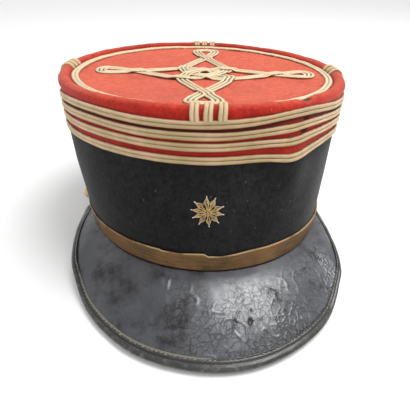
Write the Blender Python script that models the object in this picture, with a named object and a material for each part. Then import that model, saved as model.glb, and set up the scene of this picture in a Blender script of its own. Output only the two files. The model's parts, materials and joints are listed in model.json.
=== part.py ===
"""A stiff cloth kepi: a black band and a red side under four metal-lace galons, a rolled rim round a
sunken red top with a looped knot of lace, a leather peak with a bound edge, a chin strap on two ball
buttons and an embroidered star.

The pieces are worked out in the cap's own frame, in metres: the band's bottom edge lies in z = 0 and
the front faces -Y. Then the whole cap is tipped back until it rests on the peak's edge and on the
back of the band, as it lies on a table, and it is moved over the origin.
"""

import math

import bmesh
import bpy
from mathutils import Matrix, Vector

# Band and crown
HEAD_WIDTH = 0.162
HEAD_LENGTH = 0.204
TOP_WIDTH = 0.195
TOP_LENGTH = 0.212
TOP_SETBACK = 0.006
TOP_SIDE_SHIFT = -0.0026
FRONT_HEIGHT = 0.095
BACK_HEIGHT = 0.111
HEIGHT_CURVE = 1.3
CLOTH = 0.0025
GAP = 0.0003

# Rolled rim and sunken top
ROLL_RADIUS = 0.0038
ROLL_HEIGHT = 0.0075
TOP_DROP = 0.0035
TOP_SAG = 0.0020

# Lace
GALON_WIDTH = 0.0048
LACE_THICKNESS = 0.0012
LACE_GROOVE = 0.0005
RING_WIDTH = 0.0048
RING_MARGIN = 0.0008
RISER_WIDTH = 0.0050
RISER_SPACE = 0.0023
RISERS_IN_GROUP = 3
RISER_TURN = math.radians(163)

# Looped knot on the top
KNOT_MARGIN_SIDE = 0.0108
KNOT_MARGIN_FRONT = 0.0078
KNOT_SIDE_SHIFT = -0.0005
KNOT_FRONT_SHIFT = 0.0020
KNOT_WAIST = 0.0160
KNOT_RIBBON = 0.0076
KNOT_STEP = 0.00015

# Peak and its binding
PEAK_REACH = 0.0465
PEAK_HALF_WIDTH = 0.0976
PEAK_SIDE_SHIFT = -0.0026
PEAK_TURN = math.radians(6.5)
PEAK_DROP = 0.032
PEAK_THICKNESS = 0.0020
PEAK_ARCH = 0.0030
PEAK_END_ANGLE_LEFT = math.radians(87.5)
PEAK_END_ANGLE_RIGHT = math.radians(84)
PEAK_END_WIDTH_LEFT = 0.0084
PEAK_END_WIDTH_RIGHT = 0.0045
PEAK_CENTRE = 0.10
PEAK_FAN = 0.95
PEAK_LIFT_START = 0.55
PEAK_CLOSE_START = 0.73
BINDING_WIDTH = 0.0065
BINDING_THICKNESS = 0.0008

# Chin strap and buttons
STRAP_HEIGHT = 0.0016
STRAP_WIDTH = 0.0110
STRAP_THICKNESS = 0.0012
STRAP_MARGIN = math.radians(5)
BUTTON_LEFT_ANGLE = math.radians(-93)
BUTTON_RIGHT_ANGLE = math.radians(101)
BUTTON_RADIUS = 0.0048
SHANK_RADIUS = 0.0020
SHANK_LENGTH = 0.0012

# Star
STAR_HEIGHT = 0.0382
STAR_ANGLE = math.radians(-1.3)
STAR_RADIUS = 0.0093
STAR_VALLEY = 0.0056
STAR_EDGE = 0.0006
STAR_CENTRE = 0.0020
STAR_RAYS = 10

# Facets
BAND_LEVELS = (0.0, 0.18, 0.40, 0.60, 0.80, 0.96, 1.0)
ROUND_STEPS = 60
PEAK_STEPS = 36
STRAP_STEPS = 40
RISER_STEPS = 7
BUTTON_SIDES = 16
BUTTON_RINGS = 7

# How far the wall has flared, from the bottom edge to the rim, at each share of its height
FLARE = (
    # height, flare
    (0.00, 0.00),
    (0.12, 0.20),
    (0.25, 0.33),
    (0.50, 0.54),
    (0.72, 0.73),
    (1.00, 1.00),
)

# Spaces between the galons as shares of their width, at the front and at the sides and back
GALONS = (
    # name, space above in front, space above elsewhere
    ("galon_1", 0.00, 0.00),
    ("galon_2", 0.20, 0.30),
    ("galon_3", 0.16, 0.40),
    ("galon_4", 0.46, 0.44),
)

# Where the groups of risers stand, set by eye when they were sewn on
RISER_GROUPS = (
    # name, angle
    ("front", -0.6),
    ("right", 89.0),
    ("back", 176.0),
    ("left", -94.0),
)

# Where the galons leave their level lines: lifts as shares of the galon width
GALON_SWAYS = (
    # angle, angle spread, lift of the top galon, lift of the lowest galon
    (33.0, 20.0, 0.80, 0.00),
    (27.0, 6.0, 0.00, -0.30),
    (50.0, 14.0, 0.00, 0.40),
    (-42.0, 20.0, 0.40, 0.15),
    (84.0, 12.0, -0.60, -0.40),
    (-84.0, 14.0, -0.80, -0.30),
)

# Where wear has pushed the wall out or in: depth is a share of the head width
DENTS = (
    # angle, height share, angle spread, height spread, depth
    (29.0, 0.62, 9.0, 0.18, 0.022),
    (13.0, 0.62, 10.0, 0.22, -0.008),
    (-24.0, 0.55, 16.0, 0.25, -0.006),
    (-95.0, 0.50, 45.0, 0.35, 0.014),
    (150.0, 0.50, 22.0, 0.25, -0.009),
)

# One quarter of a knot loop, from the tip to the waist: shares of the reach and of the waist
KNOT_QUARTER = (
    # along, across
    (1.00, 0.00),
    (0.97, -0.31),
    (0.89, -0.41),
    (0.79, -0.33),
    (0.66, 0.00),
    (0.54, 0.35),
    (0.42, 0.65),
    (0.31, 0.88),
    (0.21, 1.00),
    (0.14, 0.92),
    (0.07, 0.73),
    (0.00, 0.65),
)

MATERIALS = {
    # name: colour, roughness, metallic
    "black_cloth": ((0.017, 0.018, 0.021), 0.95, 0.0),
    "red_cloth": ((0.62, 0.055, 0.035), 0.95, 0.0),
    "gold_lace": ((0.62, 0.49, 0.28), 0.55, 0.25),
    "patent_leather": ((0.030, 0.031, 0.036), 0.28, 0.0),
    "brown_leather": ((0.20, 0.115, 0.055), 0.50, 0.0),
    "brass": ((0.62, 0.44, 0.20), 0.38, 0.9),
}


def interpolate(rows, at, column=1):
    """The value in a column of rows at a share, run straight from row to row."""
    for before, after in zip(rows, rows[1:]):
        if at <= after[0]:
            part = (at - before[0]) / (after[0] - before[0])
            return before[column] + (after[column] - before[column]) * part
    return rows[-1][column]


def smooth(share):
    share = min(max(share, 0.0), 1.0)
    return share * share * (3 - 2 * share)


def rise_along(share):
    """Height of the rim at a share of the way from the front of the top to its back."""
    return FRONT_HEIGHT + (BACK_HEIGHT - FRONT_HEIGHT) * max(share, 0.0) ** HEIGHT_CURVE


def wall_height(angle):
    """Height of the rim over the band's bottom edge; angle 0 is the front, and it grows towards +X."""
    return rise_along((1 - math.cos(angle)) / 2)


def dent(angle, share):
    total = 0.0
    for centre, height, angle_spread, height_spread, depth in DENTS:
        turn = (math.degrees(angle) - centre + 180) % 360 - 180
        falloff = (turn / angle_spread) ** 2 + ((share - height) / height_spread) ** 2
        total += depth * HEAD_WIDTH * math.exp(-falloff)
    return total * smooth(share / 0.2) * smooth((1 - share) / 0.2)


def wall_point(angle, z, out=0.0):
    """A point at height z, this far outside the outer face of the wall."""
    share = z / wall_height(angle)
    flare = interpolate(FLARE, share)
    shift = out + dent(angle, share)
    half_width = (HEAD_WIDTH + (TOP_WIDTH - HEAD_WIDTH) * flare) / 2 + shift
    half_length = (HEAD_LENGTH + (TOP_LENGTH - HEAD_LENGTH) * flare) / 2 + shift
    return Vector((
        TOP_SIDE_SHIFT * flare + half_width * math.sin(angle),
        TOP_SETBACK * flare - half_length * math.cos(angle),
        z,
    ))


def wall_normal(angle, z):
    """The direction straight out of the wall."""
    step = 0.002
    side = wall_point(angle + step, z) - wall_point(angle - step, z)
    up = wall_point(angle, z + step) - wall_point(angle, z - step)
    return side.cross(up).normalized()


def rim_point(angle, out, drop):
    """A point beside the rim: out from the wall's outer face, and drop below the rim's top."""
    height = wall_height(angle)
    point = wall_point(angle, height, out)
    point.z = height - drop
    return point


def side_point(angle, out, drop):
    """The same beside the roll, and below it a point that follows the wall."""
    if drop <= ROLL_RADIUS:
        return rim_point(angle, out, drop)
    return wall_point(angle, wall_height(angle) - drop, out)


def side_share(angle):
    """0 at the front of the cap and 1 from its sides to its back."""
    return smooth((1 - math.cos(angle)) / 0.9)


def galon_sway(angle, row):
    part = row / (len(GALONS) - 1)
    total = 0.0
    for centre, spread, top_lift, low_lift in GALON_SWAYS:
        turn = (math.degrees(angle) - centre + 180) % 360 - 180
        lift = top_lift + (low_lift - top_lift) * part
        total += lift * GALON_WIDTH * math.exp(-((turn / spread) ** 2))
    return total


def galon_heights(angle):
    """The middle height of each galon, from the top one down."""
    edge = wall_height(angle) - ROLL_HEIGHT
    heights = []
    for row, (_, front_space, side_space) in enumerate(GALONS):
        space = front_space + (side_space - front_space) * side_share(angle)
        edge -= space * GALON_WIDTH
        heights.append(edge - GALON_WIDTH / 2 + galon_sway(angle, row))
        edge -= GALON_WIDTH
    return heights


def top_height(x, y):
    """Height of the sunken top's upper face."""
    across = (x - TOP_SIDE_SHIFT) / (TOP_WIDTH / 2 - 2 * ROLL_RADIUS)
    along = (y - TOP_SETBACK) / (TOP_LENGTH / 2 - 2 * ROLL_RADIUS)
    rim = rise_along((1 + (y - TOP_SETBACK) / (TOP_LENGTH / 2)) / 2)
    return rim - TOP_DROP - TOP_SAG * (1 - min(1.0, across * across + along * along))


def material(name):
    colour, roughness, metallic = MATERIALS[name]
    made = bpy.data.materials.new(name)
    made.use_nodes = True
    shader = made.node_tree.nodes["Principled BSDF"]
    shader.inputs["Base Color"].default_value = (*colour, 1.0)
    shader.inputs["Roughness"].default_value = roughness
    shader.inputs["Metallic"].default_value = metallic
    made.diffuse_color = (*colour, 1.0)
    return made


def add_object(name, mesh, cap, finish):
    mesh.materials.append(finish)
    made = bpy.data.objects.new(name, mesh)
    bpy.context.scene.collection.objects.link(made)
    made.parent = cap
    return made


def loft(name, sections, cap, finish, ring=False):
    """One solid through equal sections, each a closed loop of points: a ring, or a bar with two ends."""
    shape = bmesh.new()
    loops = [[shape.verts.new(point) for point in section] for section in sections]
    count = len(loops[0])
    pairs = list(zip(loops, loops[1:]))
    if ring:
        pairs.append((loops[-1], loops[0]))
    for here, there in pairs:
        for i in range(count):
            j = (i + 1) % count
            shape.faces.new((here[i], here[j], there[j], there[i]))
    if not ring:
        shape.faces.new(loops[0])
        shape.faces.new(reversed(loops[-1]))
    bmesh.ops.triangulate(shape, faces=shape.faces[:])
    bmesh.ops.recalc_face_normals(shape, faces=shape.faces[:])
    mesh = bpy.data.meshes.new(name)
    shape.to_mesh(mesh)
    shape.free()
    mesh.shade_smooth()
    mesh.set_sharp_from_angle(angle=math.radians(35))
    return add_object(name, mesh, cap, finish)


def round_angles(steps=ROUND_STEPS):
    return [2 * math.pi * i / steps for i in range(steps)]


def lace_section(width):
    """(across, up) points of a flat braid with a groove along its middle."""
    half = width / 2
    crest = LACE_THICKNESS
    return (
        (-half, 0.0),
        (-half * 0.75, crest),
        (0.0, crest - LACE_GROOVE),
        (half * 0.75, crest),
        (half, 0.0),
    )


def build_band(cap, finish):
    """The black cloth band, from the bottom edge to the middle of the lowest galon."""
    sections = []
    for angle in round_angles():
        top = galon_heights(angle)[-1] - GAP / 2
        levels = [top * share for share in BAND_LEVELS]
        outer = [wall_point(angle, z) for z in levels]
        inner = [wall_point(angle, z, -CLOTH) for z in reversed(levels)]
        sections.append(outer + inner)
    return loft("band", sections, cap, finish, ring=True)


def build_red_side(cap, finish):
    """The red cloth over the band, with the padded roll along its upper edge."""
    sections = []
    for angle in round_angles():
        height = wall_height(angle)
        bottom = galon_heights(angle)[-1] + GAP / 2
        shoulder = height - ROLL_RADIUS
        belly = shoulder - ROLL_RADIUS
        levels = [bottom]
        for middle in reversed(galon_heights(angle)):
            levels += [middle - GALON_WIDTH / 2, middle + GALON_WIDTH / 2]
        levels = [bottom] + levels[2:] + [belly]
        section = [wall_point(angle, z) for z in levels]
        for step in range(5):
            turn = math.pi * step / 4
            out = ROLL_RADIUS * (math.cos(turn) - 1)
            drop = ROLL_RADIUS * (1 - math.sin(turn))
            section.append(rim_point(angle, out, drop))
        section.append(rim_point(angle, -2 * ROLL_RADIUS, 2 * ROLL_RADIUS))
        section.append(wall_point(angle, belly - ROLL_RADIUS, -CLOTH))
        section.append(wall_point(angle, bottom, -CLOTH))
        sections.append(section)
    return loft("red_side", sections, cap, finish, ring=True)


def build_top(cap, finish):
    """The sunken red top, a thin sagging disc that fits inside the roll."""
    shares = (0.3, 0.65, 1.0)
    shape = bmesh.new()
    faces_of = []
    for below in (0.0, CLOTH):
        hub = shape.verts.new((TOP_SIDE_SHIFT, TOP_SETBACK, top_height(TOP_SIDE_SHIFT, TOP_SETBACK) - below))
        rings = []
        for share in shares:
            ring = []
            for angle in round_angles():
                edge = rim_point(angle, -2 * ROLL_RADIUS - GAP, 0)
                x = TOP_SIDE_SHIFT + (edge.x - TOP_SIDE_SHIFT) * share
                y = TOP_SETBACK + (edge.y - TOP_SETBACK) * share
                ring.append(shape.verts.new((x, y, top_height(x, y) - below)))
            rings.append(ring)
        faces_of.append((hub, rings))
    for hub, rings in faces_of:
        for i in range(ROUND_STEPS):
            j = (i + 1) % ROUND_STEPS
            shape.faces.new((hub, rings[0][i], rings[0][j]))
            for inner, outer in zip(rings, rings[1:]):
                shape.faces.new((inner[i], outer[i], outer[j], inner[j]))
    upper, lower = faces_of[0][1][-1], faces_of[1][1][-1]
    for i in range(ROUND_STEPS):
        j = (i + 1) % ROUND_STEPS
        shape.faces.new((upper[i], lower[i], lower[j], upper[j]))
    bmesh.ops.triangulate(shape, faces=shape.faces[:])
    bmesh.ops.recalc_face_normals(shape, faces=shape.faces[:])
    mesh = bpy.data.meshes.new("top")
    shape.to_mesh(mesh)
    shape.free()
    mesh.shade_smooth()
    mesh.set_sharp_from_angle(angle=math.radians(35))
    return add_object("top", mesh, cap, finish)


def build_galons(cap, finish):
    """The four flat braids round the crown."""
    for row, (name, _, _) in enumerate(GALONS):
        sections = []
        for angle in round_angles():
            middle = galon_heights(angle)[row]
            sections.append([
                wall_point(angle, middle - across, GAP + up)
                for across, up in lace_section(GALON_WIDTH)
            ])
        loft(name, sections, cap, finish, ring=True)


def build_top_ring(cap, finish):
    """The braid laid on the top just inside the roll."""
    middle = -(2 * ROLL_RADIUS + RING_MARGIN + RING_WIDTH / 2)
    sections = []
    for angle in round_angles():
        section = []
        for across, up in lace_section(RING_WIDTH):
            point = rim_point(angle, middle + across, 0)
            point.z = top_height(point.x, point.y) + GAP + up
            section.append(point)
        sections.append(section)
    return loft("top_ring", sections, cap, finish, ring=True)


def riser_path():
    """(out, drop) points under a riser: up the wall from the top galon, over the roll and down inside it."""
    path = [(GAP, ROLL_HEIGHT - GAP), (GAP, ROLL_RADIUS)]
    for step in range(1, RISER_STEPS + 1):
        turn = RISER_TURN * step / RISER_STEPS
        path.append((
            (ROLL_RADIUS + GAP) * math.cos(turn) - ROLL_RADIUS,
            ROLL_RADIUS - (ROLL_RADIUS + GAP) * math.sin(turn),
        ))
    return path


def build_risers(cap, finish):
    """The groups of short braids that climb from the top galon over the roll, on the four sides."""
    path = riser_path()
    for group, degrees in RISER_GROUPS:
        middle = math.radians(degrees)
        base = rim_point(middle, 0, 0)
        step = 1e-3
        speed = (rim_point(middle + step, 0, 0) - rim_point(middle - step, 0, 0)).length / (2 * step)
        for number in range(RISERS_IN_GROUP):
            place = (number - (RISERS_IN_GROUP - 1) / 2) * (RISER_WIDTH + RISER_SPACE)
            sections = []
            for here, (out, drop) in enumerate(path):
                before = path[max(here - 1, 0)]
                after = path[min(here + 1, len(path) - 1)]
                along = Vector((after[0] - before[0], before[1] - after[1])).normalized()
                normal = (along.y, -along.x)
                section = []
                for across, up in lace_section(RISER_WIDTH):
                    angle = middle + (place + across) / speed
                    if here == 0:
                        drop = wall_height(angle) - galon_heights(angle)[0] - GALON_WIDTH / 2 - GAP
                    section.append(side_point(angle, out + normal[0] * up, drop - normal[1] * up))
                sections.append(section)
            loft(f"riser_{group}_{number + 1}", sections, cap, finish)


def knot_strand(reach, side, cap, finish, name, lift, along_y):
    """Half of a knot loop, from tip to tip, as a flat ribbon on the sunken top."""
    quarter = [(along * reach, across * KNOT_WAIST * side) for along, across in KNOT_QUARTER]
    points = quarter + [(-x, y) for x, y in reversed(quarter[:-1])]
    overlap = KNOT_RIBBON / 2
    points = [(points[0][0], points[0][1] + overlap * side)] + points
    points = points + [(points[-1][0], points[-1][1] + overlap * side)]
    sections = []
    for here, (x, y) in enumerate(points):
        before = points[max(here - 1, 0)]
        after = points[min(here + 1, len(points) - 1)]
        run = Vector((after[0] - before[0], after[1] - before[1])).normalized()
        section = []
        for across, up in ((-1, 0), (-1, 1), (1, 1), (1, 0)):
            px = x - run.y * across * KNOT_RIBBON / 2
            py = y + run.x * across * KNOT_RIBBON / 2
            if along_y:
                px, py = -py, px
            px += KNOT_SIDE_SHIFT
            py += TOP_SETBACK - KNOT_FRONT_SHIFT
            section.append(Vector((px, py, top_height(px, py) + GAP + lift + up * LACE_THICKNESS)))
        sections.append(section)
    return loft(name, sections, cap, finish)


def build_knot(cap, finish):
    """Two long loops that cross in the middle and cross themselves near their tips, joined as one piece."""
    ring = 2 * ROLL_RADIUS + RING_MARGIN + RING_WIDTH
    reach_side = TOP_WIDTH / 2 - ring - KNOT_MARGIN_SIDE
    reach_front = TOP_LENGTH / 2 - ring - KNOT_MARGIN_FRONT
    knot = knot_strand(reach_side, 1, cap, finish, "top_knot", 0.0, False)
    others = (
        (reach_side, -1, False),
        (reach_front, 1, True),
        (reach_front, -1, True),
    )
    for number, (reach, side, along_y) in enumerate(others, start=1):
        helper = knot_strand(reach, side, cap, finish, f"knot_helper_{number}", number * KNOT_STEP, along_y)
        helper.hide_render = True
        helper.display_type = "WIRE"
        join = knot.modifiers.new(f"join_{number}", "BOOLEAN")
        join.operation = "UNION"
        join.solver = "EXACT"
        join.object = helper
    return knot


def table_height(y):
    """Height of the table under the cap: it touches the back of the band and the peak's front edge."""
    back = HEAD_LENGTH / 2
    front = -(HEAD_LENGTH / 2 + PEAK_REACH)
    return -PEAK_DROP * (back - y) / (back - front)


def peak_root(angle):
    return wall_point(angle, 0.0, GAP)


def peak_edge(angle):
    """The middle of the peak's outer edge: it lies on the table in front and lifts towards the ends."""
    end_angle = PEAK_END_ANGLE_RIGHT if angle > 0 else PEAK_END_ANGLE_LEFT
    end_width = PEAK_END_WIDTH_RIGHT if angle > 0 else PEAK_END_WIDTH_LEFT
    share = abs(angle) / end_angle
    root = peak_root(angle)
    middle_y = -PEAK_CENTRE * HEAD_LENGTH
    reach = HEAD_LENGTH / 2 + PEAK_REACH + middle_y
    swing = angle * PEAK_FAN - PEAK_TURN
    outline = Matrix.Rotation(PEAK_TURN, 3, "Z") @ Vector((
        PEAK_HALF_WIDTH * math.sin(swing),
        -reach * math.cos(swing),
        0.0,
    ))
    outline += Vector((PEAK_SIDE_SHIFT, middle_y, 0.0))
    rest = BINDING_THICKNESS + GAP + PEAK_THICKNESS / 2
    low = table_height(outline.y) + rest
    end = root + Vector((math.sin(angle), -math.cos(angle), 0)) * end_width
    lift = smooth((share - PEAK_LIFT_START) / (1 - PEAK_LIFT_START))
    place = outline.lerp(end, smooth((share - PEAK_CLOSE_START) / (1 - PEAK_CLOSE_START)))
    return Vector((place.x, place.y, low * (1 - lift) - end_width / 2 * lift))


def peak_middle(angle, share):
    """A point on the peak's middle surface, from its root at 0 to its edge at 1."""
    root = peak_root(angle)
    edge = peak_edge(angle)
    point = root.lerp(edge, share)
    arch = PEAK_ARCH * 4 * share * (1 - share) * min(1.0, (edge - root).length / PEAK_REACH)
    return point + Vector((0, 0, arch))


def peak_normal(angle, share):
    step = 0.01
    low, high = max(share - step, 0), min(share + step, 1)
    out = peak_middle(angle, high) - peak_middle(angle, low)
    side = peak_middle(angle + step, share) - peak_middle(angle - step, share)
    return out.cross(side).normalized() * -1


def peak_angles():
    run = PEAK_END_ANGLE_LEFT + PEAK_END_ANGLE_RIGHT
    return [run * i / PEAK_STEPS - PEAK_END_ANGLE_LEFT for i in range(PEAK_STEPS + 1)]


def build_peak(cap, finish):
    """The stiff leather peak, a crescent that drops from the band to the table."""
    shares = (0.0, 0.25, 0.5, 0.75, 1.0)
    sections = []
    for angle in peak_angles():
        upper, lower = [], []
        for share in shares:
            middle = peak_middle(angle, share)
            normal = peak_normal(angle, share) if share else Vector((0, 0, 1))
            upper.append(middle + normal * PEAK_THICKNESS / 2)
            lower.append(middle - normal * PEAK_THICKNESS / 2)
        sections.append(upper + lower[::-1])
    return loft("peak", sections, cap, finish)


def build_binding(cap, finish):
    """The leather binding folded over the peak's edge."""
    face = PEAK_THICKNESS / 2 + GAP
    skin = face + BINDING_THICKNESS
    sections = []
    for angle in peak_angles():
        edge = peak_edge(angle)
        normal = peak_normal(angle, 1.0)
        width = (edge - peak_root(angle)).length
        depth = min(BINDING_WIDTH, width * 0.5)
        inward = (peak_middle(angle, 1 - depth / width) - edge).normalized()
        outline = (
            (depth, face),
            (depth, skin),
            (-GAP, skin),
            (-GAP - BINDING_THICKNESS, face * 0.6),
            (-GAP - BINDING_THICKNESS, -face * 0.6),
            (-GAP, -skin),
            (depth, -skin),
            (depth, -face),
            (-GAP, -face),
            (-GAP, face),
        )
        sections.append([edge + inward * back + normal * up for back, up in outline])
    return loft("peak_binding", sections, cap, finish)


def build_strap(cap, finish):
    """The chin strap, laid round the front of the band over the peak."""
    first = BUTTON_LEFT_ANGLE - STRAP_MARGIN
    last = BUTTON_RIGHT_ANGLE + STRAP_MARGIN
    low = STRAP_HEIGHT
    high = low + STRAP_WIDTH
    sections = []
    for i in range(STRAP_STEPS + 1):
        angle = first + (last - first) * i / STRAP_STEPS
        sections.append([
            wall_point(angle, low, GAP),
            wall_point(angle, high, GAP),
            wall_point(angle, high, GAP + STRAP_THICKNESS),
            wall_point(angle, low, GAP + STRAP_THICKNESS),
        ])
    return loft("chin_strap", sections, cap, finish)


def build_buttons(cap, finish):
    """The two ball buttons that hold the strap's ends, each with a short shank."""
    start = math.asin(SHANK_RADIUS / BUTTON_RADIUS)
    rows = [(0.0, 0.0), (SHANK_RADIUS, 0.0)]
    for step in range(BUTTON_RINGS + 1):
        turn = start + (math.pi - start) * step / BUTTON_RINGS
        radius = BUTTON_RADIUS * math.sin(turn) if step < BUTTON_RINGS else 0.0
        rows.append((radius, SHANK_LENGTH + BUTTON_RADIUS * (math.cos(start) - math.cos(turn))))
    height = STRAP_HEIGHT + STRAP_WIDTH / 2
    for name, angle in (("button_left", BUTTON_LEFT_ANGLE), ("button_right", BUTTON_RIGHT_ANGLE)):
        seat = wall_point(angle, height, 2 * GAP + STRAP_THICKNESS)
        outward = wall_normal(angle, height)
        sideways = outward.cross(Vector((0, 0, 1))).normalized()
        upward = sideways.cross(outward)
        shape = bmesh.new()
        loops = []
        for radius, reach in rows:
            count = BUTTON_SIDES if radius else 1
            loops.append([
                shape.verts.new(
                    seat
                    + outward * reach
                    + sideways * radius * math.cos(2 * math.pi * k / BUTTON_SIDES)
                    + upward * radius * math.sin(2 * math.pi * k / BUTTON_SIDES)
                )
                for k in range(count)
            ])
        for here, there in zip(loops, loops[1:]):
            for k in range(BUTTON_SIDES):
                j = (k + 1) % BUTTON_SIDES
                near = [here[k % len(here)], here[j % len(here)]]
                far = [there[j % len(there)], there[k % len(there)]]
                shape.faces.new(list(dict.fromkeys(near + far)))
        bmesh.ops.triangulate(shape, faces=shape.faces[:])
        bmesh.ops.recalc_face_normals(shape, faces=shape.faces[:])
        mesh = bpy.data.meshes.new(name)
        shape.to_mesh(mesh)
        shape.free()
        mesh.shade_smooth()
        mesh.set_sharp_from_angle(angle=math.radians(40))
        add_object(name, mesh, cap, finish)


def build_star(cap, finish):
    """The embroidered star on the front of the band, thick in the middle and thin at its tips."""
    shape = bmesh.new()

    def place(radius, turn, out):
        angle = STAR_ANGLE + math.asin(radius * math.sin(turn) / (HEAD_WIDTH / 2))
        return shape.verts.new(wall_point(angle, STAR_HEIGHT + radius * math.cos(turn), out))

    outline = []
    for k in range(2 * STAR_RAYS):
        turn = math.pi * k / STAR_RAYS
        outline.append((STAR_RADIUS if k % 2 == 0 else STAR_VALLEY, turn))
    back = [place(radius, turn, GAP) for radius, turn in outline]
    front = [place(radius, turn, GAP + STAR_EDGE) for radius, turn in outline]
    raised = [
        place(STAR_VALLEY * (0.75 if k % 2 == 0 else 0.55), turn, GAP + STAR_CENTRE * 0.85)
        for k, (_, turn) in enumerate(outline)
    ]
    hub_back = place(0.0, 0.0, GAP)
    hub_front = place(0.0, 0.0, GAP + STAR_CENTRE)
    count = len(outline)
    for k in range(count):
        j = (k + 1) % count
        shape.faces.new((hub_back, back[j], back[k]))
        shape.faces.new((back[k], back[j], front[j], front[k]))
        shape.faces.new((front[k], front[j], raised[j], raised[k]))
        shape.faces.new((raised[k], raised[j], hub_front))
    bmesh.ops.triangulate(shape, faces=shape.faces[:])
    bmesh.ops.recalc_face_normals(shape, faces=shape.faces[:])
    mesh = bpy.data.meshes.new("star")
    shape.to_mesh(mesh)
    shape.free()
    mesh.shade_flat()
    return add_object("star", mesh, cap, finish)


def rest_on_table(cap):
    """Tips the cap back onto the table and puts the middle of its outline over the origin."""
    run = HEAD_LENGTH + PEAK_REACH
    cap.matrix_world = Matrix.Rotation(-math.atan2(PEAK_DROP, run), 4, "X")
    bpy.context.view_layer.update()
    graph = bpy.context.evaluated_depsgraph_get()
    points = []
    for piece in cap.children:
        if not piece.hide_render:
            shown = piece.evaluated_get(graph)
            points += [shown.matrix_world @ vertex.co for vertex in shown.data.vertices]
    low = [min(point[axis] for point in points) for axis in range(3)]
    high = [max(point[axis] for point in points) for axis in range(3)]
    middle = Vector(((low[0] + high[0]) / 2, (low[1] + high[1]) / 2, low[2]))
    cap.matrix_world = Matrix.Translation(-middle) @ cap.matrix_world


def main():
    for leftover in list(bpy.data.objects):
        bpy.data.objects.remove(leftover)
    finishes = {name: material(name) for name in MATERIALS}
    cap = bpy.data.objects.new("cap", None)
    bpy.context.scene.collection.objects.link(cap)
    build_band(cap, finishes["black_cloth"])
    build_red_side(cap, finishes["red_cloth"])
    build_top(cap, finishes["red_cloth"])
    build_galons(cap, finishes["gold_lace"])
    build_top_ring(cap, finishes["gold_lace"])
    build_risers(cap, finishes["gold_lace"])
    build_knot(cap, finishes["gold_lace"])
    build_peak(cap, finishes["patent_leather"])
    build_binding(cap, finishes["patent_leather"])
    build_strap(cap, finishes["brown_leather"])
    build_buttons(cap, finishes["brass"])
    build_star(cap, finishes["gold_lace"])
    rest_on_table(cap)


main()
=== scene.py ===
"""The look of a stiff cloth kepi, built round its solids: napped black and red cloth, a padded rim,
tarnished soutache braid, a looped knot of three cords, an embroidered star, a crazed patent-leather peak
with a stitched binding, a worn chin strap and two ball buttons, on a pale floor in soft light.

The shapes are worked out in the cap's own frame, in metres: the band's bottom edge lies in z = 0 and the
front faces -Y. An angle of 0 is the front, and angles grow towards +X. Then each piece is tipped back with
the cap.
"""

import json
import math

import bpy
import numpy as np
from mathutils import Matrix, Vector

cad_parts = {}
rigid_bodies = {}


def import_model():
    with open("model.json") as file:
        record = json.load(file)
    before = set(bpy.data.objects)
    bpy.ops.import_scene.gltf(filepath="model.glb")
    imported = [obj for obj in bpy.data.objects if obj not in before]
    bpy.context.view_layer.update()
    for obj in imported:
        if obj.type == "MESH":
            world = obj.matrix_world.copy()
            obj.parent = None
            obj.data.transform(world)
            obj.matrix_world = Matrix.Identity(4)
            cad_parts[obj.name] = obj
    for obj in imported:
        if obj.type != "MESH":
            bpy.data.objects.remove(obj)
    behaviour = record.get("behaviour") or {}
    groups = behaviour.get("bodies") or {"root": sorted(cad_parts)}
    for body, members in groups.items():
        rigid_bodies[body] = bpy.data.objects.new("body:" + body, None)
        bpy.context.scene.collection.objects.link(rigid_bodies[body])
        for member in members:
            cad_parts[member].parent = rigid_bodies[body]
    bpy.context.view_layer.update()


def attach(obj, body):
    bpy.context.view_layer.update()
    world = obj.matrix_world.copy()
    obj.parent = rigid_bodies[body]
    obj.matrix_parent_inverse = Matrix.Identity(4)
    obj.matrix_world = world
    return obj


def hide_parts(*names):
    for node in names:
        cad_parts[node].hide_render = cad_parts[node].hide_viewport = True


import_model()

bl_info = {
    "name": "Kepi looks",
    "version": (1, 0, 0),
    "blender": (4, 5, 0),
    "location": "3D View > Sidebar > Kepi",
    "description": "Dresses the solids of a cloth kepi in cloth, braid, leather and brass",
    "category": "Object",
}

# Band and crown, as in the solids
HEAD_WIDTH = 0.162
HEAD_LENGTH = 0.204
TOP_WIDTH = 0.195
TOP_LENGTH = 0.212
TOP_SETBACK = 0.006
TOP_SIDE_SHIFT = -0.0026
FRONT_HEIGHT = 0.095
BACK_HEIGHT = 0.111
HEIGHT_CURVE = 1.3
CLOTH = 0.0025
GAP = 0.0003
ROLL_RADIUS = 0.0038
ROLL_HEIGHT = 0.0075
TOP_DROP = 0.0035
TOP_SAG = 0.0020
HOLE_SINK = 0.0016
HOLE_DENT = 0.0007
REST_TILT = -math.atan2(0.032, 0.2505)
REST_PLACE = (0.002593, 0.012998, 0.012925)

# Lace
GALON_WIDTH = 0.0048
GALON_SHRUNK = 0.92
RING_WIDTH = 0.0048
RING_MARGIN = 0.0008
RISER_WIDTH = 0.0050
RISER_SPACE = 0.0023
RISERS_IN_GROUP = 3
RISER_TURN = math.radians(163)
LACE_THICKNESS = 0.0014
LACE_LIFT = 0.0001
KNOT_MARGIN_SIDE = 0.0108
KNOT_MARGIN_FRONT = 0.0078
KNOT_SIDE_SHIFT = -0.0005
KNOT_FRONT_SHIFT = 0.0020
KNOT_WAIST = 0.0160
KNOT_CORNER = 3
KNOT_CORD_STEP = 0.0028
KNOT_LIFT = 0.0009
KNOT_TURN = math.radians(-3.2)
KNOT_SPACING = 0.0005

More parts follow.
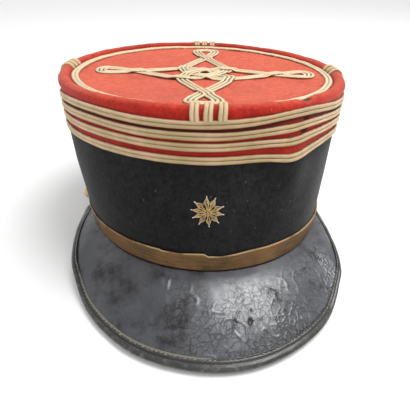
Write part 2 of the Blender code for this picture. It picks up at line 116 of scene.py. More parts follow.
# Peak, strap, buttons and star
PEAK_REACH = 0.0465
PEAK_HALF_WIDTH = 0.0976
PEAK_SIDE_SHIFT = -0.0026
PEAK_TURN = math.radians(6.5)
PEAK_DROP = 0.032
PEAK_THICKNESS = 0.0020
PEAK_ARCH = 0.0030
PEAK_END_ANGLE_LEFT = math.radians(87.5)
PEAK_END_ANGLE_RIGHT = math.radians(84)
PEAK_END_WIDTH_LEFT = 0.0084
PEAK_END_WIDTH_RIGHT = 0.0045
PEAK_CENTRE = 0.10
PEAK_FAN = 0.95
PEAK_LIFT_START = 0.55
PEAK_CLOSE_START = 0.73
CRAZE_CELLS = 1800
CRAZE_RIDGE = 0.00022
WORM_RIDGE = 0.00026
PIT_DEPTH = 0.0016
PIT_START = 0.55
BINDING_WIDTH = 0.0065
BINDING_THICKNESS = 0.0008
BINDING_FACE = PEAK_THICKNESS / 2 + GAP * 0.2
BINDING_SKIN = BINDING_FACE + BINDING_THICKNESS
SEAM_PLACE = 0.80
STITCH_SHARE = 0.74
STITCH_RADIUS = 0.00030
STRAP_HEIGHT = 0.0016
STRAP_WIDTH = 0.0110
STRAP_THICKNESS = 0.0012
STRAP_MARGIN = math.radians(5)
STRAP_EDGE = 0.06
BUTTON_LEFT_ANGLE = math.radians(-93)
BUTTON_RIGHT_ANGLE = math.radians(101)
BUTTON_RADIUS = 0.0048
SHANK_RADIUS = 0.0020
SHANK_LENGTH = 0.0012
STAR_HEIGHT = 0.0382
STAR_ANGLE = math.radians(-1.3)
STAR_RADIUS = 0.0082
STAR_VALLEY = 0.0056
STAR_BREADTH = 0.95
STAR_TALLNESS = 1.03
WIRE_RADIUS = 0.00024

# Steps round or along each piece
BAND_STEPS = 540
SIDE_STEPS = 820
TOP_STEPS = 480
TOP_ROWS = 74
BRAID_STEPS = 1080
PEAK_STEPS = 640
BINDING_STEPS = 520
SEAM_STEPS = 1400
STRAP_STEPS = 640

# How far the wall has flared at each share of its height
FLARE = (
    # height, flare
    (0.00, 0.00),
    (0.12, 0.20),
    (0.25, 0.33),
    (0.50, 0.54),
    (0.72, 0.73),
    (1.00, 1.00),
)

# Spaces above the galons as shares of their width
GALON_SPACES = (
    # front, elsewhere
    (0.00, 0.00),
    (0.20, 0.30),
    (0.16, 0.40),
    (0.46, 0.44),
)

# Where the galons rise or sink, in galon widths
GALON_SWAYS = (
    # angle, angle spread, lift of the top galon, lift of the lowest galon
    (33.0, 20.0, 0.80, 0.00),
    (27.0, 6.0, 0.00, -0.30),
    (50.0, 14.0, 0.00, 0.40),
    (-42.0, 20.0, 0.40, 0.15),
    (84.0, 12.0, -0.60, -0.40),
    (-84.0, 14.0, -0.80, -0.30),
)

RISER_GROUPS = (
    # name, angle
    ("front", -0.6),
    ("right", 89.0),
    ("back", 176.0),
    ("left", -94.0),
)

# Where wear has pushed the wall out or in: depth is a share of the head width
DENTS = (
    # angle, height share, angle spread, height spread, depth
    (29.0, 0.62, 9.0, 0.18, 0.022),
    (13.0, 0.62, 10.0, 0.22, -0.008),
    (-24.0, 0.55, 16.0, 0.25, -0.006),
    (-95.0, 0.50, 45.0, 0.35, 0.014),
    (150.0, 0.50, 22.0, 0.25, -0.009),
)

# Holes and bruises in the red cloth: the drop is measured down from the rim's top
MOTH_HOLES = (
    # angle, out from the wall, drop, half width, half height
    (34.2, -0.0040, 0.0002, 0.0042, 0.0030),
    (33.0, 0.0000, 0.0096, 0.0034, 0.0018),
    (32.8, 0.0000, 0.0166, 0.0034, 0.0018),
    (-113.0, -0.0060, 0.0008, 0.0012, 0.0011),
    (66.0, -0.0145, 0.0038, 0.0022, 0.0014),
)

# Half of a knot lobe, from the middle of its inner bow to its tip: shares of the reach and of the waist
KNOT_HALF_LOBE = (
    # along, across
    (-0.105, 0.00),
    (-0.082, 0.32),
    (0.000, 0.64),
    (0.150, 1.05),
    (0.210, 0.98),
    (0.310, 0.82),
    (0.420, 0.58),
    (0.540, 0.30),
    (0.660, 0.00),
    (0.780, -0.26),
    (0.900, -0.46),
    (0.970, -0.42),
    (1.000, 0.00),
)

# Bullion wires of one ray, as shares of the ray
STAR_WIRES = (
    # across, start, end, painted shade
    (0.00, 0.60, 0.88, 0.00),
    (0.40, 0.12, 0.74, 0.00),
    (-0.40, 0.12, 0.74, 0.00),
    (0.80, 0.52, 0.66, 0.30),
    (-0.80, 0.52, 0.66, 0.30),
)

# Directions of the rays, clockwise from the top in degrees
STAR_TURNS = (-3, 28, 71, 102, 138, 175, 213, 245, 276, 309)

# Where the worn peak's outline lies inside or outside an even curve, as a share of its reach
PEAK_TRIMS = (
    # angle, angle spread, share
    (-67.0, 14.0, -0.021),
    (-29.0, 14.0, 0.013),
    (30.0, 18.0, -0.009),
    (61.0, 14.0, -0.014),
)

# Raised wrinkles of the peak: start and end are shares of the way from its root
PEAK_FOLDS = (
    # angle, width in degrees, start, end, height
    (-20.4, 0.8, 0.10, 0.32, 0.00065),
    (-17.2, 0.7, 0.10, 0.34, 0.00065),
    (-18.5, 1.1, 0.30, 0.62, 0.00022),
    (-15.0, 1.0, 0.36, 0.98, 0.00028),
    (-12.4, 0.8, 0.52, 0.98, 0.00020),
    (-22.0, 0.9, 0.60, 0.95, 0.00018),
)

# Pits and dull stains worn in the peak: the place is a share of the way from its root
PEAK_PITS = (
    # angle, place, size, depth
    (12.3, 0.615, 0.0019, 1.0),
    (6.8, 0.580, 0.0018, 0.9),
    (13.2, 0.505, 0.0013, 0.8),
    (42.0, 0.36, 0.0016, 0.8),
    (-50.0, 0.50, 0.0080, 0.50),
    (-42.0, 0.40, 0.0070, 0.45),
    (-34.0, 0.40, 0.0060, 0.40),
    (-38.0, 0.66, 0.0080, 0.30),
    (-13.0, 0.70, 0.0075, 0.45),
    (-18.0, 0.84, 0.0070, 0.40),
    (-9.0, 0.46, 0.0060, 0.25),
)

# Tints of dust, lint and wear, and of painted shade and highlights, that stay the same whatever the colours
DUST_ON_BLACK = (0.075, 0.074, 0.073)
LINT_ON_BLACK = (0.22, 0.22, 0.22)
LINT_ON_RED = (0.95, 0.62, 0.55)
HOLE_AND_SHADE_RED = (0.045, 0.006, 0.006)
LOWER_CORD = (0.58, 0.40, 0.18)
CORD_PAINTED_SHADE = (0.26, 0.18, 0.07)
CORD_PAINTED_HIGHLIGHT = (0.98, 0.80, 0.62)
HANDLED_LACE = (0.42, 0.30, 0.13)
WARM_LACE = (0.84, 0.58, 0.40)
STRAND_PAINTED_SHADE = (0.72, 0.66, 0.58)
WIRE_TARNISH = (0.22, 0.11, 0.03)
WIRE_TIP = (0.85, 0.80, 0.74)
SCUFF = (0.105, 0.108, 0.125)
DUST_ON_PEAK = (0.15, 0.15, 0.16)
CRACK = (0.005, 0.005, 0.006)
PEAK_RUB = (0.13, 0.125, 0.12)
PIT = (0.003, 0.002, 0.005)
BINDING_RUB = (0.17, 0.155, 0.115)
DUST_ON_LEATHER = (0.30, 0.28, 0.26)
LEATHER_GROOVE = (0.006, 0.006, 0.006)
BRASS_RUB = (0.74, 0.58, 0.34)
THREAD = (0.16, 0.15, 0.14)
THREAD_DARK = (0.10, 0.09, 0.075)
THREAD_PALE = (0.30, 0.275, 0.23)

# Soft boxes: what each is for, where it stands in metres, how wide it is and its power
SOFT_BOXES = (
    # name, place, width, watts
    ("overhead", (0.42, 0.02, 1.10), 0.85, 11.5),
    ("front", (0.35, -1.30, 0.90), 0.8, 1.0),
)
LIGHT_TARGET = Vector((0, 0, 0.05))
SKY_STRENGTH = 0.84
CAMERA_SIDE = math.radians(-3.3)
CAMERA_PITCH = math.radians(24.5)
CAMERA_ROLL = math.radians(1.2)
CAMERA_DISTANCE = 0.340
CAMERA_TARGET = (0.0011, 0.0, -0.0040)
SENSOR = 36
CAMERA_LENS = 425 / 410 * SENSOR


# The cap's form, as in the solids


def smooth(share):
    share = np.clip(share, 0.0, 1.0)
    return share * share * (3 - 2 * share)


def window(value, low, high, rise, fall):
    """Rises from 0 at low and falls back to 0 at high."""
    return smooth((value - low) / rise) * smooth((high - value) / fall)


def hump(away, width):
    """1 at the middle, falling away over about this width."""
    return np.exp(-((away / width) ** 2))


def rounded_table(rows, rounding=0.045, count=401):
    """A rounded reading of a table of two columns, as (shares, values)."""
    shares = np.linspace(-0.3, 1.3, count)
    known, values = np.array(rows).T
    slopes = np.diff(values) / np.diff(known)
    straight = np.interp(shares, known, values)
    straight += np.minimum(shares, 0.0) * slopes[0] + np.maximum(shares - 1.0, 0.0) * slopes[-1]
    kernel = hump(shares - shares[count // 2], rounding)
    return shares, np.convolve(straight, kernel / kernel.sum(), mode="same")


FLARE_SHARES, FLARE_VALUES = rounded_table(FLARE)


def rise_along(share):
    return FRONT_HEIGHT + (BACK_HEIGHT - FRONT_HEIGHT) * np.maximum(share, 0.0) ** HEIGHT_CURVE


def wall_height(angle):
    return rise_along((1 - np.cos(angle)) / 2)


def turn_from(angle, centre):
    """Degrees from a centre, the short way round."""
    return (np.degrees(angle) - centre + 180) % 360 - 180


def dent(angle, share):
    total = 0.0
    for centre, height, angle_spread, height_spread, depth in DENTS:
        near = hump(turn_from(angle, centre), angle_spread) * hump(share - height, height_spread)
        total = total + depth * HEAD_WIDTH * near
    return total * window(share, 0, 1, 0.2, 0.2)


def wall_points(angle, z, out=0.0):
    """Points at height z, this far outside the outer face of the wall."""
    share = z / wall_height(angle)
    flare = np.interp(share, FLARE_SHARES, FLARE_VALUES)
    shift = out + dent(angle, share)
    half_width = (HEAD_WIDTH + (TOP_WIDTH - HEAD_WIDTH) * flare) / 2 + shift
    half_length = (HEAD_LENGTH + (TOP_LENGTH - HEAD_LENGTH) * flare) / 2 + shift
    x = TOP_SIDE_SHIFT * flare + half_width * np.sin(angle)
    y = TOP_SETBACK * flare - half_length * np.cos(angle)
    return np.stack(np.broadcast_arrays(x, y, z), axis=-1)


def rim_points(angle, out, drop):
    """Points beside the rim: out from the wall's outer face, and drop below the rim's top."""
    height = wall_height(angle)
    points = wall_points(angle, height, out + 0 * drop)
    points[..., 2] = height - drop
    return points


def side_points(angle, out, drop):
    """The same beside the roll, and below it points that follow the wall."""
    below = smooth((drop - ROLL_RADIUS) / ROLL_RADIUS)[..., None]
    beside_wall = wall_points(angle, wall_height(angle) - drop, out)
    return rim_points(angle, out, drop) * (1 - below) + beside_wall * below


def galon_heights(angle):
    """The middle height of each galon, from the top one down."""
    side_share = smooth((1 - np.cos(angle)) / 0.9)
    edge = wall_height(angle) - ROLL_HEIGHT
    heights = []
    for row, (front_space, side_space) in enumerate(GALON_SPACES):
        edge = edge - (front_space + (side_space - front_space) * side_share) * GALON_WIDTH
        part = row / (len(GALON_SPACES) - 1)
        sway = 0.0
        for centre, width, top_lift, low_lift in GALON_SWAYS:
            lift = top_lift + (low_lift - top_lift) * part
            sway = sway + lift * GALON_WIDTH * hump(turn_from(angle, centre), width)
        heights.append(edge - GALON_WIDTH / 2 + sway)
        edge = edge - GALON_WIDTH
    return heights


def top_height(x, y):
    """Height of the sunken top's upper face."""
    across = (x - TOP_SIDE_SHIFT) / (TOP_WIDTH / 2 - 2 * ROLL_RADIUS)
    along = (y - TOP_SETBACK) / (TOP_LENGTH / 2 - 2 * ROLL_RADIUS)
    rim = rise_along((1 + (y - TOP_SETBACK) / (TOP_LENGTH / 2)) / 2)
    return rim - TOP_DROP - TOP_SAG * (1 - np.minimum(1.0, across * across + along * along))


def peak_roots(angle):
    return wall_points(angle, 0.0, GAP)


def peak_edges(angle):
    """The middle of the peak's outer edge, which lies on the table in front and lifts towards the ends."""
    right = angle > 0
    share = np.abs(angle) / np.where(right, PEAK_END_ANGLE_RIGHT, PEAK_END_ANGLE_LEFT)
    end_width = np.where(right, PEAK_END_WIDTH_RIGHT, PEAK_END_WIDTH_LEFT)
    root = peak_roots(angle)
    middle_y = -PEAK_CENTRE * HEAD_LENGTH
    reach = HEAD_LENGTH / 2 + PEAK_REACH + middle_y
    swing = angle * PEAK_FAN - PEAK_TURN
    trim = 1 + sum(amount * hump(turn_from(angle, centre), width) for centre, width, amount in PEAK_TRIMS)
    flat_x = PEAK_HALF_WIDTH * np.sin(swing) * trim
    flat_y = -reach * np.cos(swing) * trim
    x = flat_x * math.cos(PEAK_TURN) - flat_y * math.sin(PEAK_TURN) + PEAK_SIDE_SHIFT
    y = flat_x * math.sin(PEAK_TURN) + flat_y * math.cos(PEAK_TURN) + middle_y
    slope = PEAK_DROP / (HEAD_LENGTH + PEAK_REACH)
    low = -slope * (HEAD_LENGTH / 2 - y) + BINDING_THICKNESS + GAP + PEAK_THICKNESS / 2
    lift = smooth((share - PEAK_LIFT_START) / (1 - PEAK_LIFT_START))
    close = smooth((share - PEAK_CLOSE_START) / (1 - PEAK_CLOSE_START))
    end_x = root[..., 0] + np.sin(angle) * end_width
    end_y = root[..., 1] - np.cos(angle) * end_width
    z = low * (1 - lift) - end_width / 2 * lift
    return np.stack([x + (end_x - x) * close, y + (end_y - y) * close, z], axis=-1)


def peak_points(angle, share):
    """Points on the peak's middle surface, from its root at 0 to its edge at 1."""
    root = peak_roots(angle)
    edge = peak_edges(angle)
    width = np.linalg.norm(edge - root, axis=-1)
    points = root + (edge - root) * np.asarray(share)[..., None]
    points[..., 2] += PEAK_ARCH * 4 * share * (1 - share) * np.minimum(1.0, width / PEAK_REACH)
    return points


def unit(vectors):
    return vectors / np.linalg.norm(vectors, axis=-1, keepdims=True)


def peak_normals(angle, share):
    step = 0.01
    out = peak_points(angle, np.minimum(share + step, 1)) - peak_points(angle, np.maximum(share - step, 0))
    side = peak_points(angle + step, share) - peak_points(angle - step, share)
    return unit(np.cross(out, side))


# Unevenness


def ripple(points, size, seed, waves=16):
    """Soft unevenness from about -1 to 1 that changes over about this size."""
    rng = np.random.default_rng(seed)
    total = 0.0
    for _ in range(waves):
        direction = unit(rng.normal(size=3))
        turns = points @ direction * (2 * math.pi / (size * rng.uniform(0.8, 2.0)))
        total = total + np.sin(turns + rng.uniform(0, 2 * math.pi))
    return total / math.sqrt(waves)


def ripples(points, *rows):
    """Several ripples added up, each with its size, seed and depth."""
    return sum(ripple(points, size, seed) * depth for size, seed, depth in rows)


def cell_borders(points, count, low, high, seed, batch=20000):
    """How near each flat point lies to the border of its cell, from 0 on the border."""
    seeds = np.random.default_rng(seed).uniform(low, high, (count, 2))
    gaps = []
    for start in range(0, len(points), batch):
        away = np.linalg.norm(points[start : start + batch, None] - seeds[None], axis=-1)
        near = np.partition(away, 1, axis=1)
        gaps.append(near[:, 1] - near[:, 0])
    return np.concatenate(gaps)


# Making meshes


def add_mark(mesh, name, values):
    layer = mesh.attributes.new(name, "FLOAT", "POINT")
    layer.data.foreach_set("value", np.asarray(values, np.float32).ravel())


def circle(steps):
    return np.linspace(0, 2 * math.pi, steps, endpoint=False)


class Shape:
    """Points and faces gathered from several parts of one piece."""

    def __init__(self):
        self.points, self.faces, self.lay, self.wear = [], [], [], []
        self.count = 0

    def sweep(self, sections, ring=False, across=None, wear=0.0):
        """Adds a closed body through equal sections: a ring, or a bar with two ends."""
        rows, columns = sections.shape[:2]
        middle = sections.mean(axis=1)
        steps = np.linalg.norm(np.roll(middle, -1, axis=0) - middle, axis=1)
        along = np.concatenate([[0.0], np.cumsum(steps)])
        if across is None:
            across = np.concatenate([[0.0], np.cumsum(np.linalg.norm(np.diff(sections[0], axis=0), axis=1))])
        across = np.append(across, across[0])
        here = np.arange(rows if ring else rows - 1)[:, None]
        side = np.arange(columns)[None, :]
        row = np.stack(np.broadcast_arrays(here, here, here + 1, here + 1), -1)
        column = np.stack(np.broadcast_arrays(side, side + 1, side + 1, side), -1)
        row, column = np.broadcast_arrays(row, column)
        faces = (row % rows) * columns + column % columns
        lay = np.stack([along[row], across[column]], -1)
        flat = sections.reshape(-1, 3)
        first, second, third, fourth = (flat[faces[..., corner]] for corner in range(4))
        crossed = np.cross(third - first, fourth - second)
        inside_out = np.einsum("...i,...i", first - flat.mean(axis=0), crossed).sum() < 0
        if inside_out:
            faces, lay = faces[..., ::-1], lay[..., ::-1, :]
        blocks, lays = [faces.reshape(-1, 4)], [lay.reshape(-1, 2)]
        if not ring:
            for cap, first_row in ((0, True), (rows - 1, False)):
                face = cap * columns + np.arange(columns)
                blocks.append((face[::-1] if first_row != inside_out else face)[None])
                lays.append(np.tile([along[cap], across[0]], (columns, 1)))
        self.points.append(flat)
        self.faces += [block + self.count for block in blocks]
        self.lay += lays
        self.wear.append(np.broadcast_to(wear, sections.shape[:2]).ravel())
        self.count += len(flat)

    def mesh(self, name):
        """The finished smooth mesh, tipped back as the cap rests."""
        mesh = bpy.data.meshes.new(name)
        turn = np.array(Matrix.Rotation(REST_TILT, 3, "X"))
        points = np.concatenate(self.points) @ turn.T + np.array(REST_PLACE)
        sizes = np.array([len(face) for block in self.faces for face in block])
        corners = np.concatenate([block.ravel() for block in self.faces])
        mesh.vertices.add(len(points))
        mesh.vertices.foreach_set("co", points.ravel().astype(np.float32))
        mesh.loops.add(len(corners))
        mesh.loops.foreach_set("vertex_index", corners.astype(np.int32))
        mesh.polygons.add(len(sizes))
        mesh.polygons.foreach_set("loop_start", (np.cumsum(sizes) - sizes).astype(np.int32))
        layer = mesh.uv_layers.new(name="lay")
        layer.uv.foreach_set("vector", np.concatenate(self.lay).astype(np.float32).ravel())
        # This mark carries real wear and also painted shade: under and between the galons, on the knot's
        # under-sheet and on the star's pad, wires and stitches
        add_mark(mesh, "wear", np.concatenate(self.wear))
        mesh.update(calc_edges=True)
        mesh.validate()
        mesh.shade_smooth()
        return mesh


def swept(name, sections, **how):
    """A mesh of one swept body."""
    shape = Shape()
    shape.sweep(sections, **how)
    return shape.mesh(name)


def tube(shape, path, radius, sides=8, taper=0.14, wear=0.0):
    """Adds a round cord along a path, with its ends drawn in."""
    run = unit(np.vstack([path[1:], path[-1:]]) - np.vstack([path[:1], path[:-1]]))
    up = (1.0, 0.02, 0.03) if abs(run[:, 2]).mean() > 0.8 else (0.03, 0.02, 1.0)
    side = unit(np.cross(run, up))
    top = np.cross(side, run)
    turn = circle(sides)[None, :, None]
    share = np.linspace(0, 1, len(path))
    size = radius * np.sqrt(np.clip(np.minimum(share, 1 - share) / taper, 0.12, 1.0))[:, None, None]
    round_path = side[:, None] * (np.cos(turn) * size) + top[:, None] * (np.sin(turn) * size)
    shape.sweep(path[:, None] + round_path, wear=wear)


def add_piece(name, mesh, material, slot, *nodes):
    """Puts a finished piece in the scene: it rides on the cap and stands for its solids."""
    piece = bpy.data.objects.new(name, mesh)
    bpy.context.scene.collection.objects.link(piece)
    mesh.materials.append(material)
    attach(piece, "root")
    if nodes:
        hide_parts(*nodes)


# Building materials


def plug(tree, socket, value):
    """Joins a socket to a field, or sets it to a plain value."""
    if isinstance(value, Field):
        tree.links.new(value.socket, socket)
    else:
        socket.default_value = (*value, 1.0) if socket.type == "RGBA" else value


def node(tree, kind, inputs=None, **settings):
    """Adds a node with its settings and inputs, and returns a reader of its outputs."""
    made = tree.nodes.new(kind)
    for key, value in settings.items():
        setattr(made, key, value)
    for key, value in (inputs or {}).items():
        plug(tree, made.inputs[key], value)
    return lambda key: Field(tree, made.outputs[key])


class Field:
    """A value, colour or place that changes over the surface."""

    def __init__(self, tree, socket):
        self.tree = tree
        self.socket = socket

    def maths(self, operation, other=0.0, clamp=False):
        inputs = {0: self, 1: other}
        return node(self.tree, "ShaderNodeMath", inputs, operation=operation, use_clamp=clamp)(0)

    def __add__(self, other):
        return self.maths("ADD", other)

    def __mul__(self, other):
        return self.maths("MULTIPLY", other)

    def larger(self, other):
        return self.maths("MAXIMUM", other)

    def part(self, axis):
        return node(self.tree, "ShaderNodeSeparateXYZ", {"Vector": self})(axis)

    def spread(self, low, high, to_low=0.0, to_high=1.0):
        """The value spread from one range over another."""
        ranges = {"Value": self, "From Min": low, "From Max": high, "To Min": to_low, "To Max": to_high}
        return node(self.tree, "ShaderNodeMapRange", ranges)("Result")

    def mix(self, first, second):
        """Two colours mixed by this value."""
        return node(self.tree, "ShaderNodeMix", {0: self, 6: first, 7: second}, data_type="RGBA")(2)

    def times(self, other):
        """This colour multiplied by another."""
        inputs = {0: 1.0, 6: self, 7: other}
        return node(self.tree, "ShaderNodeMix", inputs, data_type="RGBA", blend_type="MULTIPLY")(2)

    def stretched(self, *scale):
        return node(self.tree, "ShaderNodeMapping", {"Vector": self, "Scale": scale})("Vector")

    def noise(self, scale, detail=3.0, roughness=0.5, output=0):
        inputs = {"Vector": self, "Scale": scale, "Detail": detail, "Roughness": roughness}
        return node(self.tree, "ShaderNodeTexNoise", inputs)(output)

    def cells(self, scale, feature="F1"):
        inputs = {"Vector": self, "Scale": scale}
        return node(self.tree, "ShaderNodeTexVoronoi", inputs, feature=feature)("Distance")


def facing_up(tree):
    return node(tree, "ShaderNodeNewGeometry")("Normal").part("Z")


def group(name, inputs, outputs, fill):
    """A shader group with named sockets, made once. fill gets the tree and a reader of its inputs."""
    tree = bpy.data.node_groups.get(name)
    if tree is not None:
        return tree
    tree = bpy.data.node_groups.new(name, "ShaderNodeTree")
    for socket, default in inputs.items():
        kind = "NodeSocketVector" if default is None else "NodeSocketFloat"
        made = tree.interface.new_socket(name=socket, in_out="INPUT", socket_type=kind)
        if default is not None:
            made.default_value = default
    for socket in outputs:
        tree.interface.new_socket(name=socket, in_out="OUTPUT", socket_type="NodeSocketFloat")
    given = node(tree, "NodeGroupInput")
    node(tree, "NodeGroupOutput", dict(zip(outputs, fill(tree, given))))
    return tree


def cloth_nap():
    """Milled wool: short fibres brushed downwards, cloudy wear and pale lint."""

    def fill(tree, given):
        place, scale = given("Place"), given("Fibre Scale")
        fibres = place.stretched(1.0, 1.0, 0.75).noise(scale, 4.0, 0.65)
        fine = place.noise(scale * 3.1, 2.0, 0.6)
        tufts = place.noise(scale * 0.42, 3.0, 0.6)
        shade = place.noise(42.0, 5.0, 0.6) * 0.6 + place.noise(13.0) * 0.4
        lint = place.stretched(1.0, 1.6, 0.8).cells(210.0).spread(0.05, 0.11, 1.0, 0.0)
        some = place.noise(95.0, 2.0).spread(0.44, 0.58)
        return fibres * 0.45 + fine * 0.20 + tufts * 0.35, shade, lint * some

    return group("cloth nap", {"Place": None, "Fibre Scale": 620.0}, ("Height", "Cloud", "Lint"), fill)


def braid_weave():
    """Plaited thread: slanting strands that mirror each other across the braid, dark grooves and tarnish."""

    def fill(tree, given):
        lay = given("Lay")
        along, across = lay.part("X"), lay.part("Y")
        run = (along + across.maths("ABSOLUTE")).maths("DIVIDE", given("Pitch"))
        strand = (run * (2 * math.pi)).maths("SINE").spread(-1.0, 1.0)
        cord = across.maths("DIVIDE", given("Cord Width")) + given("Half Step")
        groove = cord.maths("PINGPONG", 0.5).spread(0.0, 0.17, 1.0, 0.0)
        broken = lay.stretched(1.0, 0.1, 1.0).noise(260.0).spread(0.36, 0.60)
        stains = lay.stretched(1.0, 0.25, 1.0).noise(70.0, 4.0, 0.62).spread(0.38, 0.68)
        spots = lay.noise(420.0, 3.0, 0.6).spread(0.52, 0.70)
        return strand, groove * (broken * 0.6 + 0.4), (stains * 0.7 + spots * 0.4) * given("Tarnish")

    inputs = {"Lay": None, "Pitch": 0.0012, "Cord Width": 0.0024, "Half Step": 0.0, "Tarnish": 1.0}
    return group("braid weave", inputs, ("Height", "Groove", "Tarnish"), fill)


def edge_wear():
    """A rubbed edge: a painted value broken up by grain."""

    def fill(tree, given):
        grain = given("Place").noise(given("Grain Scale"), 4.0, 0.65)
        worn = (given("Edge") + grain * 0.9) * 0.7
        return [worn.spread(0.55, 0.85) * given("Amount")]

    inputs = {"Place": None, "Edge": 0.0, "Amount": 1.0, "Grain Scale": 260.0}
    return group("edge wear", inputs, ["Mask"], fill)


def dust():
    """Pale dust that lies on faces turned upwards, in drifts and specks."""

    def fill(tree, given):
        drifts = given("Place").noise(28.0, 5.0, 0.65).spread(0.42, 0.72)
        specks = given("Place").noise(620.0, 2.0).spread(0.62, 0.72)
        lying = (drifts * 0.6 + specks * 0.55) * facing_up(tree).spread(-0.1, 0.9, 0.25, 1.0)
        return [lying.maths("MULTIPLY", given("Amount"), clamp=True)]

    return group("dust", {"Place": None, "Amount": 0.3}, ["Mask"], fill)


class Finish:
    """A material in the making. Plain values are set on the shader's own sockets."""

    def __init__(self, name, base, roughness, **sockets):
        self.material = bpy.data.materials.new(name)
        self.material.use_nodes = True
        self.material.diffuse_color = (*base, 1.0)
        self.tree = self.material.node_tree
        self.shader = self.tree.nodes["Principled BSDF"]
        self.relief = {}
        self.feed(Base_Color=base, Roughness=roughness, **sockets)

    def feed(self, **values):
        for key, value in values.items():
            plug(self.tree, self.shader.inputs[key.replace("_", " ")], value)

    def place(self):
        return node(self.tree, "ShaderNodeTexCoord")("Object")

    def lay(self):
        return node(self.tree, "ShaderNodeUVMap", uv_map="lay")("UV")

    def mark(self, name):
        return node(self.tree, "ShaderNodeAttribute", attribute_name=name)("Fac")

    def group(self, made, **inputs):
        """A reader of the outputs of a group placed with its own values."""
        named = {key.replace("_", " "): value for key, value in inputs.items()}
        return node(self.tree, "ShaderNodeGroup", named, node_tree=made)

    def nap(self, place):
        return self.group(cloth_nap(), Place=place, Fibre_Scale=sizes().nap_scale)

    def dusty(self, place, amount):
        return self.group(dust(), Place=place, Amount=amount)("Mask")

    def rubbed(self, place, amount, grain):
        edge = self.mark("wear")
        return self.group(edge_wear(), Place=place, Edge=edge, Amount=amount, Grain_Scale=grain)("Mask")

    def bump(self, height, distance, strength):
        """Adds relief over the relief there already is."""
        inputs = {"Height": height, "Distance": distance, "Strength": strength, **self.relief}
        self.relief = {"Normal": node(self.tree, "ShaderNodeBump", inputs)("Normal")}
        self.feed(**self.relief)


def sizes():
    return bpy.context.scene.kepi_sizes


def colour(name):
    return np.array(getattr(bpy.context.scene.kepi_colours, name))


def black_cloth():
    base = colour("black_cloth")
    sheen = {"Sheen_Weight": 0.15, "Sheen_Roughness": 0.36, "Sheen_Tint": (1.0, 0.98, 0.97)}
    finish = Finish("black wool cloth", base, 0.92, Specular_IOR_Level=0.2, **sheen)
    place = finish.place()
    nap = finish.nap(place)
    shade = nap("Cloud").spread(0.34, 0.66).mix(base * 0.9, base * 2.4)
    fibre = nap("Height").spread(0.38, 0.62).mix(base * 0.30, shade)
    dusty = finish.dusty(place, 0.14).mix(fibre, DUST_ON_BLACK)
    linty = (nap("Lint") * 0.32).mix(dusty, LINT_ON_BLACK)
    finish.feed(Base_Color=linty, Roughness=nap("Cloud").spread(0.3, 0.7, 0.86, 1.0))
    finish.bump(nap("Height"), 0.0006, 0.6)
    return finish.material


def red_cloth(name, fade_low, fade_high):
    """Red wool that has faded where it faces the light, dark round its moth holes, and darkened as painted
    shade where the side's mark asks for it.
    """
    base = colour("red_cloth")
    sheen = {"Sheen_Weight": 0.2, "Sheen_Roughness": 0.5, "Sheen_Tint": (1.0, 0.7, 0.6)}
    finish = Finish(name, base, 0.9, Specular_IOR_Level=0.2, **sheen)
    nap = finish.nap(finish.place())
    faded = facing_up(finish.tree) + nap("Cloud") * 0.5
    sun = faded.spread(fade_low, fade_high).mix(base, colour("faded_red"))
    cloudy = nap("Cloud").spread(0.34, 0.66).mix((0.84, 0.74, 0.72), (1.05, 1.10, 1.10))
    fibre = nap("Height").spread(0.38, 0.60).mix((0.66, 0.52, 0.50), (1.10, 1.24, 1.28))
    linty = (nap("Lint") * 0.12).mix(sun.times(cloudy).times(fibre), LINT_ON_RED)
    # Dark round the moth holes, and painted shade where the side's mark asks for it
    holes_and_shade = finish.mark("wear").spread(0.15, 0.8)
    finish.feed(Base_Color=holes_and_shade.mix(linty, HOLE_AND_SHADE_RED), Roughness=nap("Cloud").spread(0.3, 0.7, 0.84, 0.98))
    finish.bump(nap("Height"), 0.0009, 0.75)
    return finish.material


def lace(name, pale, cord_width, tarnish, half_step=0.0, pitch=None, lower=0.0):
    """Gold braid gone grey and brown: pale thread, dark grooves and patches of tarnish, with painted shade
    between the strands, painted shade and highlights on the galons' cords, and painted shade where the mesh's
    mark asks for it.
    """
    finish = Finish(name, pale, 0.55, Metallic=0.18)
    lay, place = finish.lay(), finish.place()
    cords = {"Cord_Width": cord_width, "Half_Step": half_step, "Tarnish": tarnish}
    weave = finish.group(braid_weave(), Lay=lay, Pitch=pitch or sizes().braid_pitch, **cords)
    body = weave("Tarnish").mix(pale, colour("tarnish"))
    low = lay.part("Y")
    phase = low.maths("DIVIDE", cord_width).maths("FRACT")
    body = low.spread(-0.0003, 0.0006, 0.0, lower).mix(body, LOWER_CORD)
    # Painted shade towards the lower side of each cord and a painted highlight along its upper side, both
    # scaled by lower
    body = phase.spread(0.45, 1.0, 0.0, lower * 1.9).mix(body, CORD_PAINTED_SHADE)
    body = phase.spread(0.10, 0.34, lower * 1.6, 0.0).mix(body, CORD_PAINTED_HIGHLIGHT)
    handled = place.part("X").maths("SUBTRACT", 0.015).maths("ABSOLUTE") + place.part("Y").larger(-0.05) * 0.6
    body = handled.spread(0.0, 0.05, lower * 1.7, 0.0).mix(body, HANDLED_LACE)
    body = (place.noise(55.0, 4.0, 0.6).spread(0.45, 0.65) * 0.45).mix(body, WARM_LACE)
    # Painted shade in the low parts of the strands, between the threads
    body = body.times(weave("Height").spread(0.0, 0.6).mix(STRAND_PAINTED_SHADE, (1, 1, 1)))
    # Darker along the groove between the cords, more so towards +X; the mesh's mark adds the painted shade of
    # the knot's under-sheet
    groove_darkening = weave("Groove") * place.part("X").spread(-0.05, 0.02, 0.55, 0.95)
    deep = groove_darkening.larger(finish.mark("wear")).mix(body, colour("groove"))
    finish.feed(Base_Color=deep, Roughness=weave("Tarnish").spread(0.0, 1.0, 0.46, 0.7))
    finish.bump(weave("Height") + place.noise(1500.0, 2.0), 0.00025, 0.8)
    return finish.material


